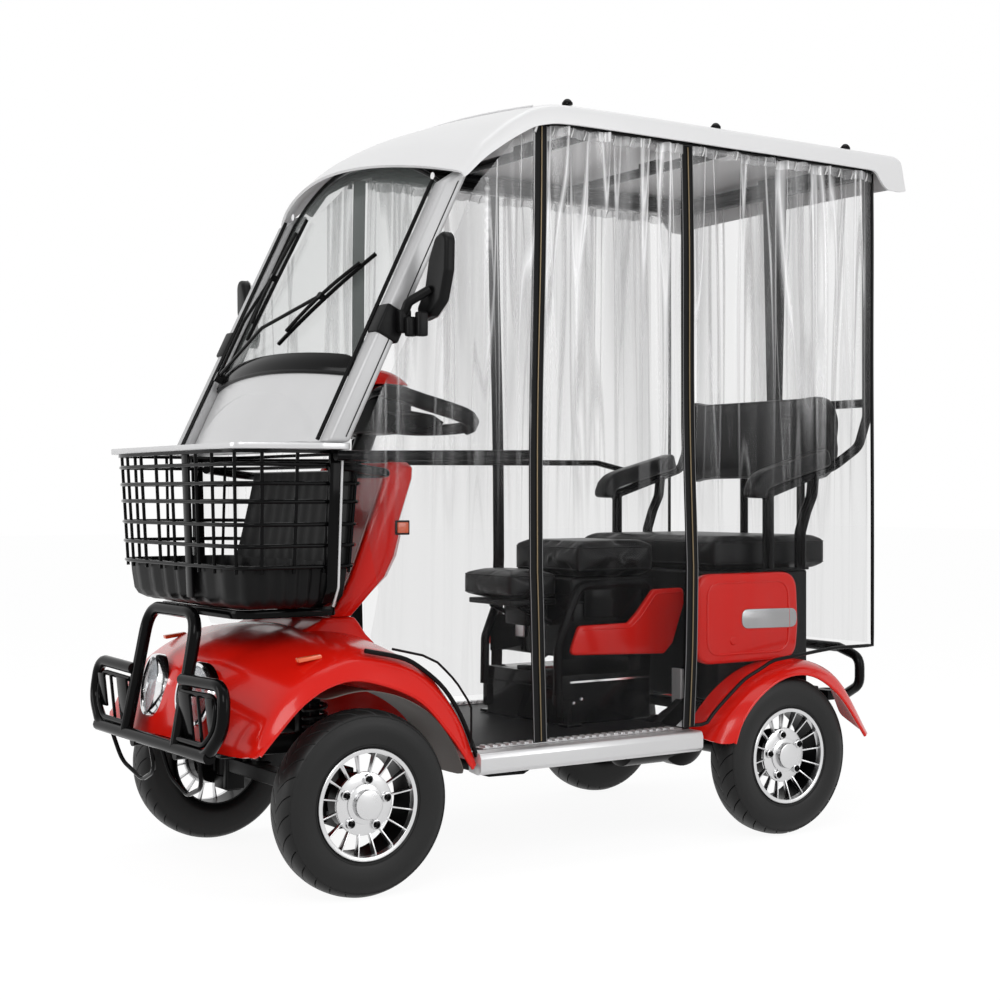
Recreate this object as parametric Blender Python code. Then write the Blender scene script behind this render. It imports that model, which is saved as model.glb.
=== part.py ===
"""Four-wheel electric mobility scooter with roof, windscreen and clear curtains.

Metres, +Z up, ground at z = 0. The front faces -Y and the rider's left is +X.
"""
import math

import bmesh
import bpy
from mathutils import Matrix, Vector

# Gap kept between touching pieces
SEAT_GAP = 0.0003

# Wheels and axles
TYRE_R = 0.190
TYRE_HALF_W = 0.046
SIDEWALL_H = 0.0820
RIM_SEAT_R = TYRE_R - SIDEWALL_H - 0.0010
BEAD_R = RIM_SEAT_R + 0.0010
RIM_FLANGE_R = RIM_SEAT_R + 0.0067
RIM_HALF_W = 0.0395
HALF_TRACK = 0.3605
FRONT_AXLE_Y = -0.60
REAR_AXLE_Y = 0.55
SPOKES = 16
HUB_BORE_R = 0.0135
STUB_R = 0.0115
KINGPIN_X = HALF_TRACK - 0.0755
KINGPIN_R = 0.010
KINGPIN_HALF_H = 0.058
SHOCK_TOP_Z = 0.420
ARCH_GAP = 0.029

# Floor, sills and frame
FLOOR_Z = 0.270
FLOOR_T = 0.014
FLOOR_FRONT_Y = -0.330
FLOOR_REAR_Y = 0.285
SILL_OUT_X = HALF_TRACK + 0.0375
SILL_IN_X = SILL_OUT_X - 0.048
SILL_LOW_Z = 0.222
RAIL_X = 0.170
RAIL_W = 0.030
RAIL_H = 0.040

# Steering column
COLUMN_FOOT = (0.0, -0.5165, 0.60)
COLUMN_LEAN = math.radians(21.2)
COLUMN_TOP_Z = 0.886
STEM_R = 0.020
NECK_TOP_Z = 0.550

# Windscreen and roof
ROOF_RAIL_Z = 1.6420
PILLAR_X = HALF_TRACK + 0.0025
PILLAR_FOOT = (-0.660, 0.920)
PILLAR_TOP = (-0.375, ROOF_RAIL_Z - 0.145)
SCREEN_HALF_W = PILLAR_X - 0.025
SCREEN_BULGE = 0.050
SCREEN_LOW_Z = 1.057
ROOF_HALF_W = PILLAR_X + 0.057
ROOF_T = 0.008
ROOF_REAR_Y = 0.930
POST_R = 0.0125
TUBE_SIDES = 8
SMALL_SIDES = 6

TRAY_LOW_Z = 0.905
TRAY_TOP_Z = 0.918
BASKET_TOP_Z = 0.9047
POST_X = PILLAR_X - 0.011
POST_Y = 0.862

# Seats and rear locker
CUSHION_LOW_Z = 0.617
REAR_BOX_HALF_W = HALF_TRACK - TYRE_HALF_W - 0.0125
REAR_BOX_FRONT_Y = 0.4125
REAR_BOX_REAR_Y = 0.705
REAR_BOX_TOP_Z = 0.628
BENCH_LOW_Z = REAR_BOX_TOP_Z + SEAT_GAP
BENCH_FRONT_Y = 0.432
BENCH_TOP_Z = 0.714
CUSHION_TOP_Z = 0.704

# Curtains
CURTAIN_X = PILLAR_X + 0.032
CURTAIN_T = 0.003
CURTAIN_TOP_Z = ROOF_RAIL_Z - 0.029
TRACK_LOW_Z = CURTAIN_TOP_Z + SEAT_GAP

SIDES = (("left", 1), ("right", -1))

# slot: red, green, blue, roughness, metallic
COLOURS = {
    "red_body": (0.62, 0.012, 0.006, 0.22, 0.0),
    "white_roof": (0.80, 0.80, 0.80, 0.25, 0.0),
    "silver_frame": (0.52, 0.52, 0.53, 0.35, 0.8),
    "black_steel": (0.012, 0.012, 0.013, 0.30, 0.3),
    "black_plastic": (0.018, 0.018, 0.019, 0.50, 0.0),
    "seat_cover": (0.020, 0.020, 0.022, 0.55, 0.0),
    "tyre_rubber": (0.016, 0.016, 0.016, 0.75, 0.0),
    "wheel_alloy": (0.60, 0.60, 0.61, 0.30, 0.9),
    "screen_glass": (0.75, 0.80, 0.80, 0.05, 0.0),
    "curtain_film": (0.85, 0.87, 0.88, 0.15, 0.0),
    "lamp_lens": (0.85, 0.87, 0.90, 0.08, 0.0),
    "lamp_red": (0.50, 0.01, 0.01, 0.15, 0.0), }


def material(slot):
    """The Principled material of one colour slot."""
    found = bpy.data.materials.get(slot)
    if found:
        return found
    red, green, blue, roughness, metallic = COLOURS[slot]
    made = bpy.data.materials.new(slot)
    made.use_nodes = True
    shader = made.node_tree.nodes["Principled BSDF"]
    shader.inputs["Base Color"].default_value = (red, green, blue, 1.0)
    shader.inputs["Roughness"].default_value = roughness
    shader.inputs["Metallic"].default_value = metallic
    made.diffuse_color = (red, green, blue, 1.0)
    return made


def finish(name, bm, slot, sharp=35.0):
    """Make one named object of a bmesh, with outward faces and smooth shading."""
    bmesh.ops.recalc_face_normals(bm, faces=bm.faces)
    mesh = bpy.data.meshes.new(name)
    bm.to_mesh(mesh)
    bm.free()
    mesh.shade_smooth()
    mesh.set_sharp_from_angle(angle=math.radians(sharp))
    made = bpy.data.objects.new(name, mesh)
    made.data.materials.append(material(slot))
    bpy.context.collection.objects.link(made)
    return made


def boolean(base, others, operation):
    """Join or cut one object with others, and keep the result as a plain mesh."""
    for other in others:
        change = base.modifiers.new(operation, "BOOLEAN")
        change.operation = operation
        change.solver = "EXACT"
        change.object = other
    graph = bpy.context.evaluated_depsgraph_get()
    mesh = bpy.data.meshes.new_from_object(base.evaluated_get(graph))
    base.modifiers.clear()
    base.data = mesh
    for other in others:
        bpy.data.objects.remove(other)
    mesh.name = base.name
    return base


def union(name, pieces, slot):
    """Join closed pieces that overlap into one object."""
    base = pieces[0]
    boolean(base, pieces[1:], "UNION")
    base.name = name
    base.data.materials.clear()
    base.data.materials.append(material(slot))
    return base


def block(name, low, high, slot, bevel=0.0, steps=2):
    """A box from its low corner to its high corner, with rounded edges."""
    bm = bmesh.new()
    size = Vector(high) - Vector(low)
    middle = (Vector(high) + Vector(low)) / 2
    bmesh.ops.create_cube(bm, size=1.0, matrix=Matrix.Translation(middle) @ Matrix.Diagonal((*size, 1.0)))
    if bevel:
        bmesh.ops.bevel(bm, geom=bm.edges[:], offset=bevel, segments=steps, profile=0.5, affect="EDGES")
    return finish(name, bm, slot)


def prism(name, outline, axis, low, high, slot, bevel=0.0):
    """A flat outline pushed out along one axis; outline points are the other two axes in order."""
    bm = bmesh.new()
    rings = []
    for value in (low, high):
        ring = []
        for a, b in outline:
            place = {"x": (value, a, b), "y": (a, value, b), "z": (a, b, value)}[axis]
            ring.append(bm.verts.new(place))
        rings.append(ring)
    for i in range(len(outline)):
        j = (i + 1) % len(outline)
        bm.faces.new((rings[0][i], rings[0][j], rings[1][j], rings[1][i]))
    caps = [bm.faces.new(rings[0]), bm.faces.new(list(reversed(rings[1])))]
    if bevel:
        edges = {edge for cap in caps for edge in cap.edges}
        bmesh.ops.bevel(bm, geom=list(edges), offset=bevel, segments=2, profile=0.5, affect="EDGES")
    return finish(name, bm, slot)


def rounded_outline(corners, radius, steps=4):
    """A closed flat outline with each corner turned into an arc."""
    points = []
    count = len(corners)
    for i in range(count):
        here = Vector(corners[i])
        back = (Vector(corners[i - 1]) - here)
        ahead = (Vector(corners[(i + 1) % count]) - here)
        points += corner_arc(here, back, ahead, radius, steps)
    return points


def corner_arc(here, back, ahead, radius, steps):
    """Points of the arc that rounds one corner of a path."""
    angle = back.angle(ahead)
    if angle > math.pi - 0.02:
        return [here]
    reach = min(radius / math.tan(angle / 2), 0.49 * back.length, 0.49 * ahead.length)
    start = here + back.normalized() * reach
    end = here + ahead.normalized() * reach
    turned = []
    for k in range(steps + 1):
        t = k / steps
        turned.append(start * (1 - t) ** 2 + here * 2 * t * (1 - t) + end * t ** 2)
    return turned


def rounded_path(points, radius, steps=3, closed=False):
    """A path in space with its inner corners turned into arcs."""
    spots = [Vector(p) for p in points]
    count = len(spots)
    path = []
    for i in range(count):
        if not closed and i in (0, count - 1):
            path.append(spots[i])
            continue
        back = spots[i - 1] - spots[i]
        ahead = spots[(i + 1) % count] - spots[i]
        path += corner_arc(spots[i], back, ahead, radius, steps)
    return path


def sweep(name, path, section, slot, closed=False, up=None):
    """Carry a closed section of (side, up) offsets along a path."""
    spots = [Vector(p) for p in path]
    count = len(spots)
    bm = bmesh.new()
    rings = []
    carried = Vector(up) if up else None
    for i in range(count):
        before = spots[i] - spots[i - 1] if closed or i > 0 else spots[1] - spots[0]
        after = spots[(i + 1) % count] - spots[i] if closed or i < count - 1 else before
        along = (before.normalized() + after.normalized()).normalized()
        if carried is None:
            carried = Vector((0, 0, 1)) if abs(along.z) < 0.9 else Vector((0, 1, 0))
        side = along.cross(carried).normalized()
        lift = side.cross(along).normalized()
        if not up:
            carried = lift
        stretch = 1.0 / math.cos(before.angle(after) / 2)
        bend = Vector((0, 0, 0))
        if stretch > 1.0001:
            bend = (after.normalized() - before.normalized()).normalized()
        ring = []
        for a, b in section:
            offset = side * a + lift * b
            offset += bend * offset.dot(bend) * (stretch - 1.0)
            ring.append(bm.verts.new(spots[i] + offset))
        rings.append(ring)
    spans = count if closed else count - 1
    for i in range(spans):
        ring, after = rings[i], rings[(i + 1) % count]
        for j in range(len(section)):
            k = (j + 1) % len(section)
            bm.faces.new((ring[j], ring[k], after[k], after[j]))
    bmesh.ops.triangulate(bm, faces=bm.faces)
    if not closed:
        bm.faces.new(rings[0])
        bm.faces.new(list(reversed(rings[-1])))
    return finish(name, bm, slot)


def circle(radius, sides=TUBE_SIDES):
    """A round section of given sides."""
    half = math.pi / sides
    return [(radius * math.cos(2 * math.pi * k / sides + half),
             radius * math.sin(2 * math.pi * k / sides + half)) for k in range(sides)]


def flat(width, height):
    """A rectangular section."""
    return [(-width / 2, -height / 2), (width / 2, -height / 2), (width / 2, height / 2),
            (-width / 2, height / 2)]


def tube(name, points, radius, slot, bend=0.0, sides=TUBE_SIDES, steps=2, closed=False):
    """A round tube along a bent path."""
    path = rounded_path(points, bend, steps, closed) if bend else points
    return sweep(name, path, circle(radius, sides), slot, closed)


def lathe(name, profile, centre, side, slot, segments=32, axis="x"):
    """Turn a closed profile of (radius, along) points about an axis through a centre."""
    bm = bmesh.new()
    rings = []
    for k in range(segments):
        turn = 2 * math.pi * k / segments
        ring = []
        for radius, along in profile:
            a, b = radius * math.cos(turn), radius * math.sin(turn)
            offset = {"x": (side * along, a, b), "y": (a, side * along, b), "z": (a, b, side * along)}[axis]
            ring.append(bm.verts.new(Vector(centre) + Vector(offset)))
        rings.append(ring)
    count = len(profile)
    for k in range(segments):
        ring, after = rings[k], rings[(k + 1) % segments]
        for j in range(count):
            i = (j + 1) % count
            bm.faces.new((ring[j], ring[i], after[i], after[j]))
    bmesh.ops.remove_doubles(bm, verts=bm.verts, dist=1e-6)
    loose = [face for face in bm.faces if face.calc_area() < 1e-12]
    bmesh.ops.delete(bm, geom=loose, context="FACES")
    return finish(name, bm, slot)


def solid_of_revolution(name, profile, centre, side, slot, segments=32, axis="x"):
    """Turn an open profile that starts and ends on the axis."""
    bm = bmesh.new()
    rings = []
    for radius, along in profile:
        ring = []
        spots = segments if radius > 1e-6 else 1
        for k in range(spots):
            turn = 2 * math.pi * k / segments
            a, b = radius * math.cos(turn), radius * math.sin(turn)
            offset = {"x": (side * along, a, b), "y": (a, side * along, b), "z": (a, b, side * along)}[axis]
            ring.append(bm.verts.new(Vector(centre) + Vector(offset)))
        rings.append(ring)
    for ring, after in zip(rings, rings[1:]):
        for k in range(segments):
            j = (k + 1) % segments
            if len(ring) == 1:
                bm.faces.new((ring[0], after[j], after[k]))
            elif len(after) == 1:
                bm.faces.new((ring[k], ring[j], after[0]))
            else:
                bm.faces.new((ring[k], ring[j], after[j], after[k]))
    return finish(name, bm, slot)


def lattice(name, columns, rows, outer, inner, filled, slot, wrap=False):
    """A thick wall on a grid of cells, where only the filled cells are solid."""
    bm = bmesh.new()
    across = columns if wrap else columns + 1
    skins = [[[bm.verts.new(place(i, j)) for j in range(rows + 1)] for i in range(across)]
             for place in (outer, inner)]

    def solid(i, j):
        if wrap:
            i %= columns
        if not (0 <= i < columns and 0 <= j < rows):
            return False
        return filled(i, j)

    for i in range(columns):
        i2 = (i + 1) % across if wrap else i + 1
        for j in range(rows):
            if not solid(i, j):
                continue
            for skin in skins:
                bm.faces.new((skin[i][j], skin[i2][j], skin[i2][j + 1], skin[i][j + 1]))
            edges = (((i, j), (i2, j), solid(i, j - 1)), ((i2, j), (i2, j + 1), solid(i + 1, j)),
                     ((i2, j + 1), (i, j + 1), solid(i, j + 1)), ((i, j + 1), (i, j), solid(i - 1, j)))
            for (a, b), (c, d), covered in edges:
                if not covered:
                    bm.faces.new((skins[0][a][b], skins[0][c][d], skins[1][c][d], skins[1][a][b]))
    loose = [vert for vert in bm.verts if not vert.link_faces]
    bmesh.ops.delete(bm, geom=loose, context="VERTS")
    return finish(name, bm, slot)


def skin_solid(name, rows, thickness, slot):
    """A thick skin through rows of points, thickened towards its inner side."""
    bm = bmesh.new()
    grid = [[bm.verts.new(p) for p in row] for row in rows]
    for row, after in zip(grid, grid[1:]):
        for j in range(len(row) - 1):
            bm.faces.new((row[j], row[j + 1], after[j + 1], after[j]))
    bmesh.ops.recalc_face_normals(bm, faces=bm.faces)
    bm.normal_update()
    up = sum((face.normal.z * face.calc_area() for face in bm.faces))
    if up < 0:
        bmesh.ops.reverse_faces(bm, faces=bm.faces)
        bm.normal_update()
    inner = {}
    for vert in list(bm.verts):
        inner[vert] = bm.verts.new(vert.co - vert.normal * thickness)
    faces = list(bm.faces)
    rims = [edge for edge in bm.edges if len(edge.link_faces) == 1]
    for face in faces:
        bm.faces.new([inner[vert] for vert in reversed(face.verts)])
    for edge in rims:
        a, b = edge.verts
        bm.faces.new((a, b, inner[b], inner[a]))
    return finish(name, bm, slot)


def smooth_row(points, count):
    """Evenly spaced points on a smooth curve through the given points."""
    spots = [Vector(p) for p in points]
    spots = [spots[0] * 2 - spots[1]] + spots + [spots[-1] * 2 - spots[-2]]
    fine = []
    for i in range(1, len(spots) - 2):
        a, b, c, d = spots[i - 1:i + 3]
        for k in range(8):
            t = k / 8
            fine.append(0.5 * (2 * b + (c - a) * t + (2 * a - 5 * b + 4 * c - d) * t * t
                               + (3 * b - a - 3 * c + d) * t ** 3))
    fine.append(spots[-2])
    lengths = [0.0]
    for a, b in zip(fine, fine[1:]):
        lengths.append(lengths[-1] + (b - a).length)
    result = []
    for k in range(count):
        want = lengths[-1] * k / (count - 1)
        i = max(n for n in range(len(lengths)) if lengths[n] <= want + 1e-9)
        if i >= len(fine) - 1:
            result.append(fine[-1].copy())
            continue
        share = (want - lengths[i]) / max(1e-9, lengths[i + 1] - lengths[i])
        result.append(fine[i].lerp(fine[i + 1], share))
    return result


def mirrored(points, side):
    """Points with their X turned to one side."""
    return [(side * x, y, z) for x, y, z in points]


def pillar_y(z):
    """Where the windscreen's slanted line lies at a height."""
    (y0, z0), (y1, z1) = PILLAR_FOOT, PILLAR_TOP
    return y0 + (y1 - y0) * (z - z0) / (z1 - z0)


def screen_point(x, z, lift=0.0):
    """A point on the windscreen's curved face, lifted out of it."""
    (y0, z0), (y1, z1) = PILLAR_FOOT, PILLAR_TOP
    along = Vector((0, y1 - y0, z1 - z0)).normalized()
    out = Vector((0, -along.z, along.y))
    bulge = SCREEN_BULGE * (1 - (x / SCREEN_HALF_W) ** 2)
    slope = 2 * SCREEN_BULGE * x / SCREEN_HALF_W ** 2
    face = (out + Vector((slope, 0, 0))).normalized()
    return Vector((x, pillar_y(z), z)) + out * bulge + face * lift


def column_point(z, forward=0.0, x=0.0):
    """A point on the steering column's slanted axis, moved forward of it."""
    return Vector((x, COLUMN_FOOT[1] + (z - COLUMN_FOOT[2]) * math.tan(COLUMN_LEAN) - forward, z))


def rear_arch(y, z):
    """Spread a point of the rear arch, drawn for a 190 mm wheel, about the axle to suit the wheel's size."""
    drawn_z = 0.190
    scale = (TYRE_R + ARCH_GAP) / 0.219
    return REAR_AXLE_Y + (y - REAR_AXLE_Y) * scale, TYRE_R + (z - drawn_z) * scale


def make_wheel(name, side, centre_y):
    """One tyre on its sixteen-spoke alloy rim."""
    centre = (side * HALF_TRACK, centre_y, TYRE_R)
    shoulder_r = TYRE_R - 0.012
    half_tyre = [(BEAD_R, 0.0340), (RIM_FLANGE_R + 0.0006, 0.0340), (BEAD_R + 0.39 * SIDEWALL_H, TYRE_HALF_W),
                 (shoulder_r, 0.0390), (TYRE_R, 0.0180)]
    tyre = half_tyre + [(radius, -along) for radius, along in reversed(half_tyre)]
    lathe("tyre_" + name, tyre, centre, side, "tyre_rubber", 28)

    wall = 0.004
    lip_w = 0.0345
    barrel = [(RIM_SEAT_R, -lip_w), (RIM_FLANGE_R, -lip_w), (RIM_FLANGE_R, -RIM_HALF_W),
              (RIM_SEAT_R - wall, -RIM_HALF_W), (RIM_SEAT_R - wall, RIM_HALF_W),
              (RIM_FLANGE_R, RIM_HALF_W), (RIM_FLANGE_R, lip_w), (RIM_SEAT_R, lip_w)]
    pieces = [lathe("barrel", barrel, centre, side, "wheel_alloy", 20)]
    hub = [(0.0, 0.0400), (0.030, 0.0400), (0.031, 0.0250), (0.064, 0.0215), (0.064, 0.0120), (0.034, 0.0100),
           (0.034, -0.0300), (HUB_BORE_R, -0.0300), (HUB_BORE_R, 0.0200), (0.0, 0.0200)]
    pieces.append(solid_of_revolution("hub", hub, centre, side, "wheel_alloy", 12))
    for k in range(SPOKES):
        spoke = block("spoke", (0.0125, -0.0022, 0.061), (0.0240, 0.0022, RIM_SEAT_R - 0.001), "wheel_alloy")
        turn = Matrix.Rotation(2 * math.pi * (k + 0.5) / SPOKES, 4, "X")
        spoke.data.transform(Matrix.Translation(centre) @ turn @ Matrix.Diagonal((side, 1, 1, 1)))
        if side < 0:
            spoke.data.flip_normals()
        pieces.append(spoke)
    union("rim_" + name, pieces, "wheel_alloy")


def make_wheels():
    """Two steered front wheels and two driven rear wheels."""
    for name, side in SIDES:
        make_wheel("front_" + name, side, FRONT_AXLE_Y)
        make_wheel("rear_" + name, side, REAR_AXLE_Y)


def make_knuckles():
    """The steering knuckles: kingpin barrel, stub axle and steering arm."""
    for name, side in SIDES:
        x = KINGPIN_X
        half = 0.030
        barrel = tube("barrel", [(x, FRONT_AXLE_Y, TYRE_R - half), (x, FRONT_AXLE_Y, TYRE_R + half)], 0.019,
                      "black_steel", sides=12)
        carrier = block("carrier", (x + 0.010, FRONT_AXLE_Y - 0.024, TYRE_R - 0.024),
                        (HALF_TRACK - RIM_HALF_W - 0.004, FRONT_AXLE_Y + 0.024, TYRE_R + 0.024),
                        "black_steel")
        stub = tube("stub", [(x + 0.012, FRONT_AXLE_Y, TYRE_R), (HALF_TRACK + 0.012, FRONT_AXLE_Y, TYRE_R)],
                    STUB_R, "black_steel", sides=12)
        collar = tube("collar", [(x + 0.030, FRONT_AXLE_Y, TYRE_R),
                                 (HALF_TRACK - 0.0305, FRONT_AXLE_Y, TYRE_R)], 0.020, "black_steel")
        arm = sweep("arm", [(x, FRONT_AXLE_Y, TYRE_R - 0.015),
                            (x - 0.012, FRONT_AXLE_Y + 0.11, TYRE_R - 0.015)],
                    flat(0.024, 0.014), "black_steel")
        knuckle = union("knuckle_" + name, [barrel, carrier, stub, collar, arm], "black_steel")
        if side < 0:
            knuckle.data.transform(Matrix.Diagonal((-1, 1, 1, 1)))
            knuckle.data.flip_normals()


def make_front_axle():
    """The front beam with a forked end round each kingpin barrel, and its two coil shocks."""
    ear_low, ear_high = TYRE_R - KINGPIN_HALF_H, TYRE_R + KINGPIN_HALF_H
    reach = KINGPIN_X - 0.050
    pieces = [block("beam", (-reach - 0.01, FRONT_AXLE_Y - 0.020, TYRE_R - 0.016),
                    (reach + 0.01, FRONT_AXLE_Y + 0.020, TYRE_R + 0.016), "black_steel")]
    for side in (1, -1):
        back = sorted((side * (reach - 0.012), side * (reach + 0.012)))
        pieces.append(block("fork", (back[0], FRONT_AXLE_Y - 0.022, ear_low),
                            (back[1], FRONT_AXLE_Y + 0.022, ear_high), "black_steel"))
        for low, high in ((ear_low - 0.004, TYRE_R - 0.0305), (TYRE_R + 0.0305, ear_high + 0.004)):
            ends = sorted((side * (reach - 0.004), side * (KINGPIN_X + 0.020)))
            pieces.append(block("ear", (ends[0], FRONT_AXLE_Y - 0.018, low),
                                (ends[1], FRONT_AXLE_Y + 0.018, high), "black_steel"))
        shock_x = side * 0.165
        pieces.append(tube("shock", [(shock_x, FRONT_AXLE_Y, TYRE_R), (shock_x, FRONT_AXLE_Y, SHOCK_TOP_Z)],
                           0.011, "black_steel", sides=SMALL_SIDES))
        pieces.append(tube("coil", [(shock_x, FRONT_AXLE_Y, 0.235), (shock_x, FRONT_AXLE_Y, 0.385)], 0.029,
                           "black_steel"))
    union("front_axle", pieces, "black_steel")


def make_rear_axle():
    """The rear axle tube with its motor, drive housing, brake drums and coil shocks."""
    end_x = HALF_TRACK - 0.0305
    pieces = [tube("housing", [(-end_x, REAR_AXLE_Y, TYRE_R), (end_x, REAR_AXLE_Y, TYRE_R)], 0.026,
                   "black_steel", sides=8)]
    stub_x = HALF_TRACK + 0.012
    pieces.append(tube("stub", [(-stub_x, REAR_AXLE_Y, TYRE_R), (stub_x, REAR_AXLE_Y, TYRE_R)], STUB_R,
                       "black_steel", sides=10))
    pieces.append(tube("drive", [(-0.06, REAR_AXLE_Y, TYRE_R), (0.03, REAR_AXLE_Y, TYRE_R)], 0.075,
                       "black_steel", sides=10))
    pieces.append(tube("motor", [(-0.015, REAR_AXLE_Y, TYRE_R), (-0.015, REAR_AXLE_Y - 0.20, TYRE_R - 0.01)],
                       0.062, "black_steel", sides=10))
    for side in (1, -1):
        shock_x = side * 0.235
        pieces.append(tube("shock", [(shock_x, REAR_AXLE_Y, TYRE_R), (shock_x, REAR_AXLE_Y, 0.3182)], 0.010,
                           "black_steel", sides=SMALL_SIDES))
        pieces.append(tube("coil", [(shock_x, REAR_AXLE_Y, 0.225), (shock_x, REAR_AXLE_Y, 0.306)], 0.027,
                           "black_steel"))
    union("rear_axle", pieces, "black_steel")


def make_frame():
    """The welded frame under the floor: two bent side rails and their cross members."""
    floor_rail_z = FLOOR_Z - FLOOR_T - 2 * SEAT_GAP - RAIL_H / 2
    # side, y, z of the rail's centre line
    line = [(0.115, -0.800, 0.285), (0.115, -0.480, 0.285), (RAIL_X, -0.380, floor_rail_z),
            (RAIL_X, 0.325, floor_rail_z), (RAIL_X, 0.415, 0.298), (RAIL_X, 0.860, 0.298)]
    pieces = []
    for _, side in SIDES:
        pieces.append(sweep("rail", mirrored(line, side), flat(RAIL_W, RAIL_H), "black_steel", up=(0, 0, 1)))
    wide = SILL_IN_X - 0.005
    # y, half length, centre height of each cross member
    crosses = ((-0.790, 0.135, 0.285), (-0.500, 0.135, 0.285), (-0.300, wide, floor_rail_z),
               (-0.020, wide, floor_rail_z), (0.245, wide, floor_rail_z), (0.430, 0.230, 0.298),
               (0.860, 0.230, 0.298))
    for y, half, z in crosses:
        pieces.append(block("cross", (-half, y - 0.0125, z - 0.0125), (half, y + 0.0125, z + 0.0125),
                            "black_steel"))
    tower_z = SHOCK_TOP_Z + SEAT_GAP
    for _, side in SIDES:
        wide = sorted((side * 0.104, side * 0.126))
        pieces.append(block("tower", (wide[0], FRONT_AXLE_Y - 0.018, 0.285),
                            (wide[1], FRONT_AXLE_Y + 0.018, tower_z + 0.012), "black_steel"))
        wide = sorted((side * 0.104, side * 0.184))
        pieces.append(block("seat", (wide[0], FRONT_AXLE_Y - 0.018, tower_z),
                            (wide[1], FRONT_AXLE_Y + 0.018, tower_z + 0.012), "black_steel"))
    hoop = [(0.170, 0.862, 0.298), (0.170, 0.905, 0.298), (0.235, 0.905, 0.298), (0.300, 0.890, 0.330),
            (0.300, 0.890, 0.400), (0.220, 0.895, 0.420), (-0.220, 0.895, 0.420), (-0.300, 0.890, 0.400),
            (-0.300, 0.890, 0.330), (-0.235, 0.905, 0.298), (-0.170, 0.905, 0.298), (-0.170, 0.862, 0.298)]
    pieces.append(tube("hoop", hoop, 0.0125, "black_steel", 0.035, SMALL_SIDES))
    union("chassis_frame", pieces, "black_steel")


def make_floor():
    """The floor pan with its front toe edge, and the silver sills beside it."""
    edge_x = SILL_IN_X - SEAT_GAP
    block("floor_pan", (-edge_x, FLOOR_FRONT_Y, FLOOR_Z - FLOOR_T), (edge_x, FLOOR_REAR_Y, FLOOR_Z),
          "black_plastic")
    for name, side in SIDES:
        outline = [(SILL_IN_X, SILL_LOW_Z + 0.004), (SILL_OUT_X - 0.014, SILL_LOW_Z),
                   (SILL_OUT_X - 0.004, SILL_LOW_Z + 0.006),
                   (SILL_OUT_X, SILL_LOW_Z + 0.016), (SILL_OUT_X, FLOOR_Z - 0.014),
                   (SILL_OUT_X - 0.004, FLOOR_Z - 0.005),
                   (SILL_OUT_X - 0.012, FLOOR_Z), (SILL_IN_X, FLOOR_Z)]
        prism("sill_" + name, [(side * x, z) for x, z in outline], "y", FLOOR_FRONT_Y, 0.283, "silver_frame")


def make_front_body():
    """The red bonnet and front mudguards as one moulding, open below, with its wheel arches."""
    # half width, then the (y, z) points of the skin from the front bottom over the top to the rear bottom
    sections = (
        (0.000, (-0.862, 0.300), (-0.858, 0.390), (-0.806, 0.474), (-0.700, 0.512), (-0.600, 0.528),
         (-0.480, 0.505), (-0.390, 0.400), (-0.331, 0.262)),
        (0.110, (-0.860, 0.298), (-0.847, 0.388), (-0.798, 0.470), (-0.700, 0.509), (-0.600, 0.525),
         (-0.478, 0.502), (-0.388, 0.398), (-0.331, 0.262)),
        (0.190, (-0.856, 0.296), (-0.836, 0.380), (-0.786, 0.458), (-0.700, 0.500), (-0.600, 0.517),
         (-0.468, 0.488), (-0.382, 0.388), (-0.331, 0.260)),
        (0.265, (-0.850, 0.294), (-0.828, 0.372), (-0.775, 0.446), (-0.695, 0.491), (-0.600, 0.508),
         (-0.460, 0.472), (-0.374, 0.374), (-0.331, 0.256)),
        (0.335, (-0.846, 0.296), (-0.824, 0.362), (-0.768, 0.433), (-0.690, 0.480), (-0.600, 0.498),
         (-0.455, 0.458), (-0.367, 0.362), (-0.331, 0.250)),
        (0.378, (-0.842, 0.300), (-0.816, 0.356), (-0.758, 0.420), (-0.686, 0.460), (-0.602, 0.473),
         (-0.470, 0.434), (-0.380, 0.345), (-0.333, 0.246)),
        (0.392, (-0.838, 0.308), (-0.800, 0.349), (-0.745, 0.402), (-0.680, 0.436), (-0.604, 0.441),
         (-0.482, 0.396), (-0.402, 0.316), (-0.346, 0.240)), )
    rows = []
    for half, *line in reversed(sections):
        rows.append(smooth_row([(half, y, z) for y, z in line], 13))
    for half, *line in sections[1:]:
        rows.append(smooth_row([(-half, y, z) for y, z in line], 13))
    skin = skin_solid("skin", rows, 0.006, "red_body")
    # height, half width, front and rear y of the raised neck under the column cover
    levels = ((0.497, 0.172, -0.690, -0.462), (0.530, 0.160, -0.610, -0.482),
              (NECK_TOP_Z, 0.150, -0.570, -0.494))
    bm = bmesh.new()
    rings = [[bm.verts.new((x, y, z)) for x, y in ((-half, front), (half, front), (half, rear),
                                                   (-half, rear))]
             for z, half, front, rear in levels]
    for ring, after in zip(rings, rings[1:]):
        for j in range(4):
            k = (j + 1) % 4
            bm.faces.new((ring[j], ring[k], after[k], after[j]))
    bm.faces.new(rings[0])
    bm.faces.new(list(reversed(rings[-1])))
    union("front_body", [skin, finish("neck", bm, "red_body")], "red_body")


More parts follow.
